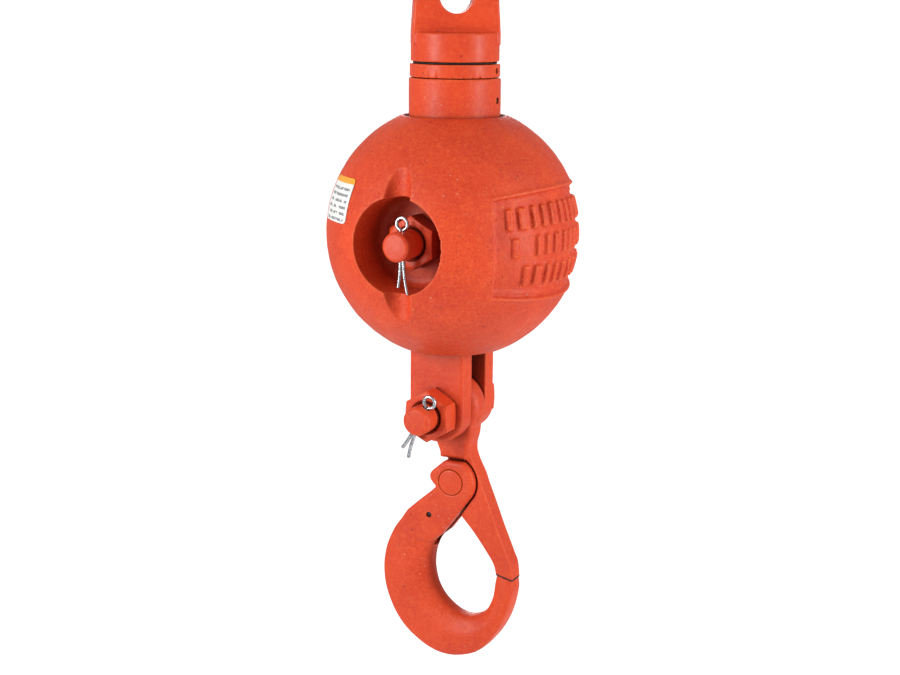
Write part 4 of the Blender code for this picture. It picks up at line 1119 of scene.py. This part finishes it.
def ball_label():
    """Thin sticker that follows the ball, its corners cut round."""
    columns, rows, corner = 40, 36, 0.10
    straight = 0.5 - corner

    def in_corner(u, v):
        """Pulls the grid's corners in to a round corner."""
        du, dv = max(0.0, abs(u - 0.5) - straight), max(0.0, abs(v - 0.5) - straight)
        reach = math.hypot(du, dv)
        if reach <= corner or not du or not dv:
            return u, v
        keep = corner / reach
        wide, tall = straight + du * keep, straight + dv * keep
        return 0.5 + math.copysign(wide, u - 0.5), 0.5 + math.copysign(tall, v - 0.5)

    def spot(u, v):
        u, v = in_corner(u, v)
        return [low + (high - low) * share for (low, high), share in zip(LABEL_SPANS, (u, v))]

    shape = bmesh.new()
    layer = shape.loops.layers.uv.new("print")
    radii = (BALL_RADIUS + GAP, BALL_RADIUS + GAP + 0.0005)
    for grid in patch(shape, radii, spot, columns, rows):
        for k, vert in enumerate(grid):
            up, across = divmod(k, columns + 1)
            for loop in vert.link_loops:
                loop[layer].uv = in_corner(across / columns, up / rows)
    piece(finished(shape, "label"), "ball_label", "block", label_look(), 60)


# ---------------------------------------------------------------- studio


def studio():
    """White floor far below the hanging block, three tall soft boxes and a pale surround."""
    scene = bpy.context.scene
    floor_z, reach = -0.75, 3000.0
    shape = bmesh.new()
    bmesh.ops.create_grid(shape, x_segments=1, y_segments=1, size=reach)
    floor = finished(shape, "floor", Matrix.Translation((0, 0, floor_z)))
    look = Look("floor")
    patches = look.between(look.noise(0.4, 2.0), 0.3, 0.7)
    tone = look.mix(patches, (0.90, 0.90, 0.90, 1), (0.94, 0.94, 0.94, 1))
    look.set(Base_Color=tone, Roughness=0.8, Specular_IOR_Level=0.1)
    seen = look.node("LightPath").outputs["Is Camera Ray"]
    look.set(Emission_Color=(1, 1, 1, 1), Emission_Strength=look.between(seen, 0, 1, 0.0, 0.75))
    floor.data.materials.append(look.material)

    world = bpy.data.worlds.new("studio")
    scene.world = world
    world.use_nodes = True
    nodes, links = world.node_tree.nodes, world.node_tree.links
    background = nodes["Background"]
    path = nodes.new("ShaderNodeLightPath")
    strength = nodes.new("ShaderNodeMapRange")
    strength.inputs["To Min"].default_value = 0.40
    strength.inputs["To Max"].default_value = 1.0
    links.new(path.outputs["Is Camera Ray"], strength.inputs["Value"])
    links.new(strength.outputs["Result"], background.inputs["Strength"])
    background.inputs["Color"].default_value = (1, 1, 1, 1)

    for name, azimuth, height, power, wide, tall in (
        ("soft_left", -28, 0.78, 25.5, 0.42, 1.4),
        ("soft_right", 91, 0.60, 23, 0.20, 1.6),
        ("soft_back", 207, 0.80, 12, 0.50, 1.4),
    ):
        light = bpy.data.lights.new(name, "AREA")
        light.shape = "RECTANGLE"
        light.size, light.size_y = wide, tall
        light.energy = power
        lamp = linked(name, light)
        a = math.radians(azimuth)
        spot = Vector((1.7 * math.sin(a), -1.7 * math.cos(a), height))
        lamp.location = spot
        lamp.rotation_euler = (Vector((0, 0, 0.40)) - spot).to_track_quat("-Z", "Y").to_euler()


def camera():
    """Long lens a little to the nuts' right, looking slightly down."""
    azimuth, distance, height = math.radians(27), 1.55, BALL_Z + 0.232
    tilt, yaw, roll = math.radians(12.4), math.radians(0.095), math.radians(0.5)
    data = bpy.data.cameras.new("camera")
    data.lens = 62.48
    data.sensor_width = 36.0
    obj = linked("camera", data)
    place = Matrix.Translation((distance * math.sin(azimuth), -distance * math.cos(azimuth), height))
    place = place @ Matrix.Rotation(azimuth + yaw, 4, "Z") @ Matrix.Rotation(math.pi / 2 - tilt, 4, "X")
    obj.matrix_world = place @ Matrix.Rotation(roll, 4, "Z")
    bpy.context.scene.camera = obj


top_eye()
dust_seal()
swivel_cap()
small_side_parts()
bearing()
jaw_body()
ball()
ball_label()
bolt_set("ball", BALL_Z, POCKET_FLOOR, end=0.121, cotter_at=0.1065, tilt=0.0, leg=0.0300)
bolt_set("hook", HOOK_Z, FORK_SPREAD / 2, end=0.0795, cotter_at=0.0675, tilt=math.radians(27), leg=0.0260)
hook_body()
hook_bowl()
hook_pins()
trigger()
trigger_spring()
studio()
camera()
bpy.context.scene.view_settings.view_transform = "Standard"
